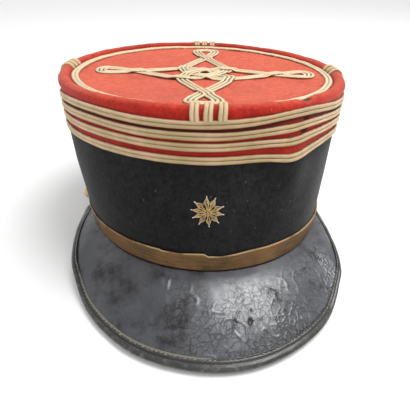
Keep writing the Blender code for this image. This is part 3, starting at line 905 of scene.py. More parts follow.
def bullion():
    """Coiled gold wire with painted shade between the coils and a painted highlight on them, painted shade
    where the mesh's mark asks, and bright at the rays' tips.
    """
    base = colour("wire")
    finish = Finish("bullion wire", base, 0.30, Metallic=0.45)
    coils = {"Pitch": 0.0005, "Cord_Width": 1.0, "Half_Step": 0.5, "Tarnish": 0.5}
    weave = finish.group(braid_weave(), Lay=finish.lay(), **coils)
    # Painted shade between the coils and a painted highlight on their crowns
    tone = weave("Height").spread(0.1, 0.7).mix(base * 0.35, base * 1.2)
    tone = weave("Tarnish").mix(tone, WIRE_TARNISH)
    # Painted shade on the pad, the darker wires and every other middle stitch
    tone = finish.mark("wear").maths("ADD", 0.0, clamp=True).mix(tone, colour("groove") * 0.35)
    tone = finish.mark("wear").spread(-1.0, 0.0, 1.0, 0.0).mix(tone, WIRE_TIP)
    finish.feed(Base_Color=tone)
    finish.bump(weave("Height"), 0.0002, 0.9)
    return finish.material


def patent_leather():
    """Black lacquer over leather: crazed in front, scuffed, stained and pitted."""
    base = colour("patent")
    coat = {"Coat_Weight": 0.5, "Coat_Roughness": 0.30, "Coat_IOR": 1.8, "Coat_Tint": (0.93, 0.96, 1.0)}
    finish = Finish("black patent leather", base, 0.45, Specular_IOR_Level=0.4, **coat)
    place = finish.place()
    bend = {0: place.noise(150.0, output="Color"), 1: (0.009, 0.009, 0.009), 2: place}
    bent = node(finish.tree, "ShaderNodeVectorMath", bend, operation="MULTIPLY_ADD")(0)

    def crack_lines(scale, width):
        return bent.cells(scale, "DISTANCE_TO_EDGE").spread(0.0, width, 1.0, 0.0)

    craze = finish.mark("craze")
    broken = place.noise(52.0, 4.0, 0.6).spread(0.34, 0.52)
    fine = crack_lines(480.0, 0.09) * place.noise(70.0).spread(0.44, 0.58)
    cracks = (crack_lines(240.0, 0.085) * broken).larger(fine * 0.55).maths("MULTIPLY", craze, clamp=True)
    scuffs = place.stretched(1.0, 0.5, 1.0).noise(120.0, 6.0, 0.72).spread(0.47, 0.66)
    haze = place.noise(30.0, 5.0, 0.6).spread(0.38, 0.62)
    stains = place.noise(75.0, 5.0, 0.68).spread(0.50, 0.64)
    mottled = place.noise(190.0, 6.0, 0.7).spread(0.36, 0.58, 0.25, 1.0)
    pitted = finish.mark("wear").spread(-0.7, 0.0, 1.0, 0.0) * mottled
    tone = haze.mix(base * 0.5, base * 1.9)
    tone = (scuffs * 0.30).mix(tone, SCUFF)
    tone = (finish.dusty(place, 0.45) * 0.30).mix(tone, DUST_ON_PEAK)
    tone = (stains * 0.75).mix(tone, base * 0.3)
    tone = (cracks * 0.65).mix(tone, CRACK)
    tone = finish.rubbed(place, 0.4, 240.0).mix(tone, PEAK_RUB)
    matt = cracks * 0.55 + scuffs.larger(stains) * 0.5 + pitted * 0.8
    lacquer = matt.spread(0.0, 1.0, 1.0, 0.10) * craze.spread(0.0, 0.8, 0.50, 1.0)
    dull = haze * 0.15 + scuffs * 0.25 + 0.30
    finish.feed(Base_Color=pitted.mix(tone, PIT), Roughness=dull, Coat_Weight=lacquer)
    finish.bump(place.noise(700.0, 3.0, 0.6), 0.00012, 0.35)
    finish.bump(place.noise(210.0, 5.0, 0.65), 0.0007, 0.45)
    finish.bump(crack_lines(240.0, 0.22).maths("MULTIPLY", craze * broken, clamp=True), 0.0004, 0.6)
    finish.bump(cracks * -1.0, 0.0006, 0.9)
    return finish.material


def leather(name, base, light, worn, roughness, grain, streaks, dusty, gloss, coat=0.0):
    """Grained leather, pale where its edges are rubbed and dark in its grooves."""
    finish = Finish(name, base, roughness, Specular_IOR_Level=gloss, Coat_Weight=coat, Coat_Roughness=0.22)
    place = finish.place()
    cloud = place.noise(48.0, 5.0, 0.62).spread(0.34, 0.68)
    lines = finish.lay().stretched(0.08, 1.0, 1.0).noise(900.0, 3.0, 0.6).spread(0.40, 0.68)
    tone = cloud.mix(base * 0.55, base * 1.4)
    tone = (lines * streaks).mix(tone, light)
    tone = (finish.dusty(place, dusty) * 0.4).mix(tone, DUST_ON_LEATHER)
    tone = finish.rubbed(place, worn, 330.0).mix(tone, light)
    tone = finish.mark("wear").spread(-1.0, 0.0, 1.0, 0.0).mix(tone, LEATHER_GROOVE)
    finish.feed(Base_Color=tone, Roughness=cloud.spread(0.0, 1.0, roughness - 0.1, roughness + 0.15))
    finish.bump(place.cells(grain, "SMOOTH_F1"), 0.0002, 0.5)
    finish.bump(lines, 0.0002, 0.4)
    return finish.material


def brass():
    base = colour("brass")
    finish = Finish("dull brass", base, 0.42, Metallic=0.85)
    place = finish.place()
    stain = place.noise(240.0, 5.0, 0.65).spread(0.38, 0.66)
    tone = finish.rubbed(place, 0.8, 500.0).mix(stain.mix(base * 0.55, base), BRASS_RUB)
    finish.feed(Base_Color=tone, Roughness=stain.spread(0.0, 1.0, 0.58, 0.34))
    finish.bump(place.noise(900.0, 4.0, 0.6), 0.00012, 0.5)
    return finish.material


def waxed_thread(twist=0.0005):
    finish = Finish("waxed thread", THREAD, 0.6)
    lay = finish.lay()
    turns = (lay.part("X") + lay.part("Y")) * (2 * math.pi / twist)
    tint = finish.place().noise(300.0, 2.0).spread(0.35, 0.65)
    finish.feed(Base_Color=tint.mix(THREAD_DARK, THREAD_PALE))
    finish.bump(turns.maths("SINE").spread(-1.0, 1.0), 0.0001, 0.7)
    return finish.material


# The pieces


def hole_marks(points):
    """How near each point of the red cloth lies to a moth hole: 1 at its middle."""
    total = np.zeros(points.shape[:-1])
    for degrees, out, drop, half_width, half_height in MOTH_HOLES:
        angle = math.radians(degrees)
        away = points - side_points(np.array(angle), np.array(out), np.array(drop))
        across = away @ np.array([math.cos(angle), math.sin(angle), 0.0])
        rest = np.sqrt(np.maximum((away**2).sum(-1) - across**2, 0))
        ragged = 1 + 0.25 * ripple(points, 0.004, int(degrees) + 300)
        apart = (across / half_width) ** 2 + (rest / half_height) ** 2
        total = np.maximum(total, np.exp(-(apart * ragged)))
    return total


def band_mesh():
    """The black wall: its outer face, a turned bottom edge and a plain inside."""
    angle = circle(BAND_STEPS)[:, None]
    top = galon_heights(angle)[-1]
    outer = np.concatenate([np.linspace(0.0, 0.012, 10)[:-1], np.linspace(0.012, 1.0, 74)])
    inner = np.linspace(1.0, 0.0, 16)
    fold = np.linspace(0, math.pi, 8)[1:-1]
    z = np.concatenate([top * outer, top * inner, -0.0004 * np.sin(fold) + 0 * top], axis=1)
    out = np.concatenate([0 * outer, 0 * inner - CLOTH, -CLOTH / 2 * (1 + np.cos(fold))])
    soft = ripples(wall_points(angle, z, out), (0.030, 11, 0.00016), (0.011, 12, 0.00005))
    seam = hump(turn_from(angle, 180.0), 0.55) * 0.0006
    shift = (soft - seam) * smooth(z / 0.006) * (out > -CLOTH / 2)
    return swept("band_cloth", wall_points(angle, z, out + shift), ring=True)


def red_side_mesh():
    """The red wall under the galons and the padded roll along its edge, holed in a few places, with painted
    shade between and under the galons and round the back of the rim.
    """
    angle = circle(SIDE_STEPS)[:, None]
    galons = galon_heights(angle)
    low = galons[-1]
    belly = wall_height(angle) - 2 * ROLL_RADIUS
    wall = wall_points(angle, low + (belly - low) * np.linspace(0, 1, 38))
    radius = ROLL_RADIUS * (1 + ripples(rim_points(angle, 0.0, 0.0), (0.022, 21, 0.035), (0.007, 22, 0.02)))
    turn = np.linspace(-0.16 * math.pi, 1.12 * math.pi, 34)
    roll = rim_points(angle, -ROLL_RADIUS + radius * np.cos(turn), ROLL_RADIUS - radius * np.sin(turn))
    inner = rim_points(angle, -2 * ROLL_RADIUS, np.linspace(2.0, 3.2, 3) * ROLL_RADIUS)
    under = belly - 2 * ROLL_RADIUS
    back = wall_points(angle, under - (under - low) * np.linspace(0, 1, 6), -CLOTH)
    points = np.concatenate([wall, roll, inner, back], axis=1)
    column = np.arange(points.shape[1])
    on_wall = column < wall.shape[1]
    shown = column < points.shape[1] - back.shape[1] - 1
    holes = hole_marks(points)
    outward = points - (TOP_SIDE_SHIFT, TOP_SETBACK, 0.0)
    outward[..., 2] = 0
    push = (ripple(points, 0.016, 23) * 0.00012 - holes * HOLE_DENT) * shown
    points = points + unit(outward) * push[..., None]
    points[..., 2] -= holes * HOLE_SINK * (shown & ~on_wall)
    # Painted shadow under the top galon; the wall, seen only between the galons, is darkened all over, and
    # round the back the rim is darkened by dirt and by painted shade
    shadow = 0.5 * hump(points[..., 2] - galons[0] + GALON_WIDTH * 0.62, 0.0012)
    behind = smooth((np.abs(turn_from(angle, 0.0)) - 95) / 50)
    soil_and_shade = np.where(on_wall, 0.30 + shadow, 0.30 * behind)
    return swept("red_cloth_side", points, ring=True, wear=np.maximum(holes, soil_and_shade))


def top_mesh():
    """The sunken red top, uneven under the knot, with its edge tucked under the roll."""
    angle = circle(TOP_STEPS)[:, None]
    edge = rim_points(angle, -2 * ROLL_RADIUS + 0.0006, 0.0)
    centre = np.array([TOP_SIDE_SHIFT, TOP_SETBACK])
    share = np.concatenate([np.linspace(0.004, 1.0, TOP_ROWS), np.linspace(1.0, 0.004, 12)])
    flat = centre + (edge[..., :2] - centre) * share[:, None]
    points = np.concatenate([flat, top_height(flat[..., 0], flat[..., 1])[..., None]], axis=-1)
    soft = ripples(points, (0.034, 31, 0.00028), (0.012, 32, 0.00007)) * smooth((1.0 - share) / 0.08)
    points[..., 2] += np.where(np.arange(len(share)) < TOP_ROWS, soft, -CLOTH)
    return swept("red_cloth_top", points, ring=True, wear=hole_marks(points))


def lace_profile(width, cords=2, steps=7):
    """(across, up) round a braid whose cords lie side by side."""
    half = width / (2 * cords)
    across, up = [-width / 2], [0.0]
    for cord in range(cords):
        for step in range(steps):
            turn = math.pi * (1 - (step + 0.5) / steps)
            across.append(half * (2 * cord + 1 + math.cos(turn)) - width / 2)
            up.append(LACE_THICKNESS * (0.30 + 0.70 * math.sin(turn)))
    return np.array(across + [width / 2]), np.array(up + [0.0])


def galon_mesh(row):
    """One braid round the crown, laid by hand: its line, width and cords waver."""
    angle = circle(BRAID_STEPS)[:, None]
    across, up = lace_profile(GALON_WIDTH * GALON_SHRUNK)
    middle = galon_heights(angle)[row]
    line = wall_points(angle, middle)
    waver = ripple(line, 0.045, 41 + row) * 0.00012
    width = 1 + 0.03 * ripple(line, 0.020, 51 + row)
    rise = 1 + 0.10 * ripple(line, 0.009, 61 + row)
    tilt = ripple(line, 0.035, 71 + row) * 0.06
    up = up * (rise + tilt * across / GALON_WIDTH * 4) + LACE_LIFT
    points = wall_points(angle, middle + waver - across * width, up)
    return swept(f"braid_{row + 1}", points, ring=True, across=across)


def top_ring_mesh():
    angle = circle(BRAID_STEPS)[:, None]
    across, up = lace_profile(RING_WIDTH)
    middle = -(2 * ROLL_RADIUS + RING_MARGIN + RING_WIDTH / 2)
    line = rim_points(angle, middle, 0.0)
    rise = 1 + 0.08 * ripple(line, 0.009, 82)
    points = rim_points(angle, middle + ripple(line, 0.040, 81) * 0.00018 + across, 0.0)
    points[..., 2] = top_height(points[..., 0], points[..., 1]) + LACE_LIFT + up * rise
    return swept("braid_top_ring", points, ring=True, across=across)


def riser_mesh(degrees, number, seed):
    """One short braid that climbs from the top galon over the roll and ends on the top."""
    middle = math.radians(degrees)
    step = 1e-3
    near = [rim_points(np.array(middle + turn), 0.0, 0.0) for turn in (0, step)]
    speed = np.linalg.norm(near[1] - near[0]) / step
    place = (number - (RISERS_IN_GROUP - 1) / 2) * (RISER_WIDTH + RISER_SPACE)
    across, up = lace_profile(RISER_WIDTH)
    turn = np.linspace(0, RISER_TURN, 26)
    foot = np.linspace(ROLL_HEIGHT + 0.0006, ROLL_RADIUS * 1.25, 6)
    out = np.concatenate([0 * foot, ROLL_RADIUS * np.cos(turn) - ROLL_RADIUS]) + 0.0002
    drop = np.concatenate([foot, ROLL_RADIUS - ROLL_RADIUS * np.sin(turn)])
    along = unit(np.gradient(np.stack([out, -drop], -1), axis=0))
    lean = np.random.default_rng(seed).normal() * 0.0004
    angle = middle + (place + across + lean * np.linspace(-1, 1, len(out))[:, None]) / speed
    top_galon = wall_height(angle) - galon_heights(angle)[0] - GALON_WIDTH / 2
    low = np.clip((0.5 - np.linspace(0, 4, len(out))[:, None]) * 2, 0, 1)
    drop = drop[:, None] * (1 - low) + (top_galon + 0.0004) * low
    points = side_points(angle, out[:, None] + along[:, 1:] * up, drop + along[:, :1] * up)
    return swept(f"riser_{seed}", points, across=across)


def closed_line(points, corners, steps=9):
    """A smooth closed line through points, which turns sharply at the corners."""
    points = np.asarray(points, float)
    count = len(points)
    share = np.arange(steps)[:, None] / steps
    line = []
    for here in range(count):
        start, end = points[here], points[(here + 1) % count]
        leave = end - start if here in corners else (end - points[here - 1]) / 2
        reach = end - start if (here + 1) % count in corners else (points[(here + 2) % count] - start) / 2
        line.append(
            start * (2 * share**3 - 3 * share**2 + 1)
            + end * (3 * share**2 - 2 * share**3)
            + leave * (share**3 - 2 * share**2 + share)
            + reach * (share**3 - share**2)
        )
    return np.concatenate(line)


def even_line(line, spacing):
    """The same closed line with its points evenly spaced."""
    closed = np.vstack([line, line[:1]])
    run = np.concatenate([[0.0], np.cumsum(np.linalg.norm(np.diff(closed, axis=0), axis=1))])
    at = np.linspace(0, run[-1], max(8, int(run[-1] / spacing)), endpoint=False)
    return np.stack([np.interp(at, run, closed[:, axis]) for axis in range(closed.shape[1])], -1)


def knot_line(reach, turn):
    """The middle line of one lobe of the knot, on the flat, turned about the knot's middle."""
    half = list(KNOT_HALF_LOBE)
    whole = half + [(along, -across) for along, across in reversed(half)][1:-1]
    flat = [(along * reach, across * KNOT_WAIST) for along, across in whole]
    line = closed_line(flat, {KNOT_CORNER, len(whole) - KNOT_CORNER})
    spin = np.array([[math.cos(turn), math.sin(turn)], [-math.sin(turn), math.cos(turn)]])
    return even_line(line @ spin, KNOT_SPACING)


def inside(point, line):
    """Whether a flat point lies inside a closed line."""
    start, end = line, np.roll(line, -1, axis=0)
    spans = (start[:, 1] > point[1]) != (end[:, 1] > point[1])
    start, end = start[spans], end[spans]
    at = start[:, 0] + (point[1] - start[:, 1]) * (end[:, 0] - start[:, 0]) / (end[:, 1] - start[:, 1])
    return int((at > point[0]).sum() % 2)


def crossings(lines):
    """Both strands of each crossing, as (line, place in it, whether it passes over)."""
    starts = np.concatenate(lines)
    runs = np.concatenate([np.roll(line, -1, axis=0) - line for line in lines])
    owner = np.repeat(np.arange(len(lines)), [len(line) for line in lines])
    order = np.concatenate([np.arange(len(line)) for line in lines])
    gap = starts[None] - starts[:, None]
    cross = runs[:, None, 0] * runs[None, :, 1] - runs[:, None, 1] * runs[None, :, 0]
    with np.errstate(divide="ignore", invalid="ignore"):
        first = (gap[..., 0] * runs[None, :, 1] - gap[..., 1] * runs[None, :, 0]) / cross
        second = (gap[..., 0] * runs[:, None, 1] - gap[..., 1] * runs[:, None, 0]) / cross
    met = (first >= 0) & (first < 1) & (second >= 0) & (second < 1)
    found = []
    for here, there in zip(*np.nonzero(met)):
        apart = abs(order[here] - order[there])
        if owner[here] == owner[there] and min(apart, len(lines[owner[here]]) - apart) < 3:
            continue
        other = unit(runs[there]) * (-1 if cross[here, there] < 0 else 1)
        spot = starts[here] + runs[here] * first[here, there] + (unit(runs[here]) + other) * 0.0004
        found.append((owner[here], order[here], sum(inside(spot, line) for line in lines) % 2 == 0))
    return found


def beside(line, offset):
    """The line moved sideways, with mitred corners."""
    both = unit(line - np.roll(line, 1, axis=0)) + unit(np.roll(line, -1, axis=0) - line)
    normal = np.stack([-both[:, 1], both[:, 0]], -1)
    size = np.linalg.norm(normal, axis=1, keepdims=True)
    return line + normal / size / np.maximum(size / 2, 0.62) * offset


def flat_cord(shape, path, half_width, half_height, wear):
    """Adds a flattened closed cord that lies on the top."""
    run = np.roll(path, -1, axis=0) - np.roll(path, 1, axis=0)
    side = unit(np.stack([-run[:, 1], run[:, 0], 0 * run[:, 0]], -1))
    turn = circle(10)
    sections = path[:, None] + side[:, None] * (np.cos(turn) * half_width)[:, None]
    sections[..., 2] += np.sin(turn) * half_height
    shape.sweep(sections, ring=True, across=np.cos(turn) * half_width, wear=wear)


def knot_mesh():
    """Four long lobes of three cords each, which pass over and under each other in turn, over a dark sheet
    that paints the shade between the cords.
    """
    ring = 2 * ROLL_RADIUS + RING_MARGIN + RING_WIDTH
    reaches = [TOP_WIDTH / 2 - ring - KNOT_MARGIN_SIDE, TOP_LENGTH / 2 - ring - KNOT_MARGIN_FRONT] * 2
    lines = [knot_line(reach, turn * math.pi / 2 + KNOT_TURN) for turn, reach in enumerate(reaches)]
    met = crossings(lines)
    shape = Shape()
    for which, line in enumerate(lines):
        lift = np.zeros(len(line))
        for owner, place, over in met:
            if owner == which and over:
                away = np.abs(np.arange(len(line)) - place)
                away = np.minimum(away, len(line) - away) * KNOT_SPACING
                lift = np.maximum(lift, smooth((0.0085 - away) / 0.0045))
        for cord in (None, -1, 0, 1):
            path = beside(line, (cord or 0) * KNOT_CORD_STEP)
            x = path[:, 0] + KNOT_SIDE_SHIFT
            y = path[:, 1] + TOP_SETBACK - KNOT_FRONT_SHIFT
            points = np.stack([x, y, top_height(x, y) + lift * KNOT_LIFT + 0.0004], -1)
            # The sheet under the cords is fully marked, so it takes the dark groove colour as painted shade
            # in the gaps between them
            if cord is None:
                flat_cord(shape, points, KNOT_CORD_STEP * 1.44, 0.00030, 1.0)
            else:
                points[:, 2] += 0.0003 + ripple(points, 0.012, 91 + which * 3 + cord) * 0.00010
                flat_cord(shape, points, KNOT_CORD_STEP * 0.36, 0.00070, 0.0)
    return shape.mesh("knot_cords")


def star_points(radius, turn, out):
    """Points of the star: radius and clockwise turn from its middle, and out from the band."""
    radius, turn, out = np.broadcast_arrays(radius, turn, out)
    angle = STAR_ANGLE + np.arcsin(radius * np.sin(turn) * STAR_BREADTH / (HEAD_WIDTH / 2))
    return wall_points(angle, STAR_HEIGHT + radius * np.cos(turn) * STAR_TALLNESS, out)


def star_mesh():
    """Ten rays of bullion wire round a coiled middle, over a padded back; the pad, the outer wires and every
    other middle stitch are darkened as painted shade.
    """
    shape = Shape()
    for ray, degrees in enumerate(STAR_TURNS):
        centre = math.radians(degrees)
        beyond = STAR_TURNS[(ray + 1) % len(STAR_TURNS)], STAR_TURNS[ray - 1]
        after, before = (math.radians(turn_from(math.radians(other), degrees)) / 2 for other in beyond)
        for side, start, end, dark in STAR_WIRES:
            share = np.linspace(start, end, 16)
            fan = (side * after if side > 0 else -side * before) * np.minimum(1.0, 0.56 / share)
            out = 0.0005 + 0.0014 * (1 - share**1.5) - 0.00025 * abs(side)
            # The last column darkens some wires as painted shade between them
            tube(shape, star_points(share * STAR_RADIUS, centre + fan, out), WIRE_RADIUS, wear=dark)
        for half_gap in (before, after):
            share = np.linspace(0, 1, 12)
            bow = half_gap * (1 - share) * (0.9 - 0.35 * share)
            edge = star_points((0.60 + 0.36 * share) * STAR_RADIUS, centre + bow, 0.0006)
            tube(shape, edge, WIRE_RADIUS, wear=-0.3)
        tip = star_points(np.linspace(0.94, 1.10, 5) * STAR_RADIUS, centre, 0.0005)
        tube(shape, tip, 0.00034, 6, 0.3, -1)
    for number in range(5):
        reach = np.linspace(-0.17, 0.17, 9) * STAR_RADIUS
        turn = number * math.pi / 5 + 0.2 + np.where(reach < 0, math.pi, 0.0)
        stitch = star_points(np.abs(reach), turn, 0.0021 + 0.0001 * number)
        # Every other middle stitch is darkened as painted shade
        tube(shape, stitch, 0.00022, 8, 0.2, 0.9 * (number % 2))
    turn = circle(80)[:, None]
    away = np.abs(turn_from(turn, np.array(STAR_TURNS))).min(axis=1, keepdims=True)
    rim = STAR_VALLEY * 1.02 + (STAR_RADIUS * 0.90 - STAR_VALLEY) * np.clip(1 - away / 15, 0, 1)
    share = np.array([0.02, 0.35, 0.7, 0.95, 1.0, 0.95, 0.5, 0.02])
    out = np.array([0.0015, 0.0013, 0.0008, 0.0004, 0.0001, -0.0002, -0.0002, -0.0002])
    # The pad is fully marked, so its dark colour paints the shade between the wires
    shape.sweep(star_points(rim * share, turn, out), ring=True, wear=1.0)
    return shape.mesh("star_wires")


def peak_span(steps):
    return np.linspace(-PEAK_END_ANGLE_LEFT, PEAK_END_ANGLE_RIGHT, steps)[:, None]


def peak_mesh():
    """The peak: buckled and crazed patent leather over a plain underside."""
    angle, share = np.broadcast_arrays(peak_span(PEAK_STEPS), np.linspace(0.0, 1.0, 124))
    degrees = np.degrees(angle)
    middle = peak_points(angle, share)
    warp = np.stack([ripple(middle, 0.020, 101), ripple(middle, 0.020, 102)], -1) * 0.0012
    flat = (middle[..., :2] + warp).reshape(-1, 2)
    border = cell_borders(flat, CRAZE_CELLS, (-0.10, -0.16), (0.10, 0.0), 103).reshape(share.shape)
    craze = window(degrees, -26, 72, 24, 18) * window(share, 0.10, 1.0, 0.22, 0.10)
    broken = smooth(0.45 + 0.65 * ripple(middle, 0.030, 104)) * smooth((degrees - 4) / 30)
    ridges = hump(border, 0.0006) * craze * broken
    worms = hump(ripple(middle, 0.0080, 108), 0.24) * smooth(0.55 + 0.8 * ripple(middle, 0.018, 109))
    worms = worms * craze * smooth((46 - degrees) / 22)
    folds = 0.0
    for centre, width, start, end, height in PEAK_FOLDS:
        wander = centre + 1.3 * ripple(middle * (0, 1, 1), 0.020, int(abs(centre) * 7))
        folds = folds + hump(degrees - wander, width) * window(share, start, end, 0.08, 0.12) * height
    pits = 0.0
    ragged = np.clip(1 + 0.4 * ripple(middle, 0.004, 107), 0.5, 2.0)
    for centre, place, size, depth in PEAK_PITS:
        away = np.hypot((degrees - centre) * 0.0022, (share - place) * PEAK_REACH) / size
        pits = pits + depth * np.exp(-(away**2) * ragged)
    relief = ripples(middle, (0.040, 105, 0.00022), (0.013, 106, 0.00006)) * window(share, 0, 1, 0.12, 0.12)
    relief = relief + ridges * CRAZE_RIDGE + worms * WORM_RIDGE + folds
    relief = relief - np.maximum(pits - PIT_START, 0) * PIT_DEPTH
    upper = middle + peak_normals(angle, share) * (PEAK_THICKNESS / 2 + relief)[..., None]
    low_angle, low_share = np.broadcast_arrays(angle[:, :1], np.linspace(1.0, 0.0, 14))
    lower = peak_points(low_angle, low_share) - peak_normals(low_angle, low_share) * PEAK_THICKNESS / 2
    rubbed = smooth((share - 0.80) / 0.16) * 0.5 - pits * 1.4
    plain = np.zeros(low_share.shape)
    points = np.concatenate([upper, lower], axis=1)
    mesh = swept("peak_leather", points, wear=np.concatenate([rubbed, plain], axis=1))
    add_mark(mesh, "craze", np.concatenate([craze, plain], axis=1))
    return mesh


def binding_profile():
    """(back from the edge, up, wear) round the folded binding: a sewn strip, a groove and a bead."""
    back = np.linspace(0.92, 0.12, 26)
    sewn, groove, bead = hump(back - SEAM_PLACE, 0.05), hump(back - 0.56, 0.045), hump(back - 0.22, 0.20)
    wear = 0.30 + 0.5 * hump(back - 0.92, 0.08) - 0.25 * sewn - 1.2 * groove + 0.05 * bead
    upper = np.stack([back, BINDING_SKIN + bead * 0.00035 - sewn * 0.00022 - groove * 0.00045, wear], -1)
    lean = np.radians(np.linspace(90, -90, 12))
    edge = np.stack([-0.10 * np.cos(lean), (BINDING_SKIN + 0.0002) * np.sin(lean), 0.35 + 0 * lean], -1)
    root = [(1.0, BINDING_FACE, 0.7), (0.985, BINDING_SKIN * 0.93, 1.0), (0.95, BINDING_SKIN, 0.8)]
    under = [(0.5, -BINDING_SKIN, 0.0), (1.0, -BINDING_SKIN, 0.0), (1.0, -BINDING_FACE, 0.0)]
    return np.vstack([root, upper, edge, under]).T


def binding_points(angle, back, up):
    """Points beside the peak's edge: back towards its root as a share of the binding, and up."""
    angle, back, up = np.broadcast_arrays(angle, back, up)
    edge = peak_edges(angle)
    width = np.linalg.norm(edge - peak_roots(angle), axis=-1)
    depth = np.minimum(BINDING_WIDTH, width * 0.5)
    inward = unit(peak_points(angle, 1 - depth / width) - edge)
    normal = peak_normals(angle, np.ones_like(angle))
    return edge + inward * (back * depth)[..., None] + normal * up[..., None]


def binding_mesh():
    angle = peak_span(BINDING_STEPS)
    back, up, wear = binding_profile()
    points = binding_points(angle, back, up)
    points = binding_points(angle, back, up + ripples(points, (0.014, 111, 0.00010), (0.005, 112, 0.00004)))
    rubbed = window(np.degrees(angle), -66, 2, 12, 8)
    inner = hump(back - 0.94, 0.10)
    wear = wear - 0.85 * inner * (1 - rubbed) + 0.25 * inner * rubbed
    return swept("peak_binding_leather", points, wear=wear)


def stitches_mesh():
    """The sewn line along the binding, one short stitch after another."""
    fine = peak_span(SEAM_STEPS)[:, 0]
    line = binding_points(fine, SEAM_PLACE, BINDING_SKIN)
    run = np.concatenate([[0.0], np.cumsum(np.linalg.norm(np.diff(line, axis=0), axis=1))])
    pitch = sizes().stitch_length
    bow = np.sin(np.linspace(0, math.pi, 7)) * 0.00022
    shape = Shape()
    for number in range(int((run[-1] - 0.004) / pitch)):
        at = np.interp(0.002 + number * pitch + np.linspace(0, pitch * STITCH_SHARE, 7), run, fine)
        back = SEAM_PLACE + 0.02 * math.sin(number * 1.7)
        tube(shape, binding_points(at, back, BINDING_SKIN - 0.0003 + bow), STITCH_RADIUS, 6, 0.3)
    return shape.mesh("binding_stitches")


def strap_profile():
    """(share of the width, share of the thickness, wear) round the strap, with rounded edges."""
    high = 1 - STRAP_EDGE
    face = np.linspace(STRAP_EDGE, high, 14)
    rows = [(share, 1.0 + 0.06 * math.sin(share * math.pi), 0.0) for share in face]
    for turn in np.linspace(90, -90, 9):
        lean = math.radians(turn)
        wear = 0.9 if -60 < turn < 80 else 0.2
        rows.append((high + STRAP_EDGE * math.cos(lean), 0.5 + 0.5 * math.sin(lean), wear))
    rows += [(share, 0.0, 0.0) for share in np.linspace(high, STRAP_EDGE, 6)]
    for lean in np.radians(np.linspace(-90, 90, 9)[:-1]):
        rows.append((STRAP_EDGE - STRAP_EDGE * math.cos(lean), 0.5 + 0.5 * math.sin(lean), 0.45))
    return np.array(rows).T


def strap_mesh():
    """The chin strap: its upper edge is ragged and rubbed pale, and it sags a little in front."""
    ends = BUTTON_LEFT_ANGLE - STRAP_MARGIN, BUTTON_RIGHT_ANGLE + STRAP_MARGIN
    angle = np.linspace(*ends, STRAP_STEPS)[:, None]
    across, up, wear = strap_profile()
    line = wall_points(angle, 0.0)
    degrees = np.degrees(angle)
    sag = 0.0017 * window(degrees, -3.2, 17, 2.4, 14) + 0.0005 * window(degrees, -20.5, -2, 1.2, 10)
    ragged = ripples(line, (0.026, 121, 0.00022), (0.007, 122, 0.00010)) + 0.0005 * hump(degrees - 55, 9.0)
    buckle = np.maximum(ripple(line, 0.030, 123) * 0.00015 + 0.0003, 0)
    z = STRAP_HEIGHT + across * (STRAP_WIDTH - sag + ragged)
    points = wall_points(angle, z, 0.0002 + up * STRAP_THICKNESS + buckle * across)
    wear = wear * (0.85 + 0.25 * ripple(line, 0.012, 124))
    return swept("chin_strap_leather", points, across=across * STRAP_WIDTH, wear=wear)


def button_mesh(angle):
    """A pressed ball button: a dented ball on its shank, with a seam round its middle."""
    height = STRAP_HEIGHT + STRAP_WIDTH / 2
    step = 0.002
    turns = ((0, 0), (step, 0), (-step, 0), (0, step), (0, -step))
    spots = [wall_points(np.array(angle + turn), np.array(height + rise)) for turn, rise in turns]
    outward = unit(np.cross(spots[1] - spots[2], spots[3] - spots[4]))
    side = unit(np.cross(outward, (0.0, 0.0, 1.0)))
    upward = np.cross(side, outward)
    start = math.asin(SHANK_RADIUS / BUTTON_RADIUS)
    turn = np.linspace(start, math.pi - 0.03, 40)
    ball = BUTTON_RADIUS * np.sin(turn) * (1 + 0.035 * hump(turn - math.pi / 2, 0.05))
    reach = SHANK_LENGTH + BUTTON_RADIUS * (math.cos(start) - np.cos(turn))
    radius = np.concatenate([[0.0001, SHANK_RADIUS, SHANK_RADIUS], ball])[:, None, None]
    reach = np.concatenate([[0.0, 0.0, SHANK_LENGTH * 0.6], reach])[:, None, None]
    turn = circle(56)[:, None]
    around = side * (radius * np.cos(turn)) + upward * (radius * np.sin(turn))
    sections = spots[0] + outward * (STRAP_THICKNESS + 0.0005) + outward * reach + around
    sections = sections + outward * (ripple(sections, 0.004, 131) * 0.00004)[..., None]
    return swept("ball_button", sections, wear=reach[..., 0] / reach.max())


# What a user may change


class KepiSizes(bpy.types.PropertyGroup):
    nap_scale: bpy.props.FloatProperty(
        name="Nap scale",
        description="How fine the wool's fibres are, in waves to the metre",
        default=620.0,
        min=200.0,
    )
    braid_pitch: bpy.props.FloatProperty(
        name="Braid pitch",
        description="Length of one plait of the braid",
        default=0.0011,
        min=0.0003,
        unit="LENGTH",
    )
    stitch_length: bpy.props.FloatProperty(
        name="Stitch length",
        description="From one binding stitch to the next",
        default=0.0026,
        min=0.001,
        unit="LENGTH",
    )
    floor_size: bpy.props.FloatProperty(
        name="Floor size", description="Width of the floor", default=6.0, min=1.0, unit="LENGTH"
    )


def colour_property(name, description, *default):
    return bpy.props.FloatVectorProperty(
        name=name, description=description, default=default, size=3, min=0.0, max=1.0, subtype="COLOR"
    )


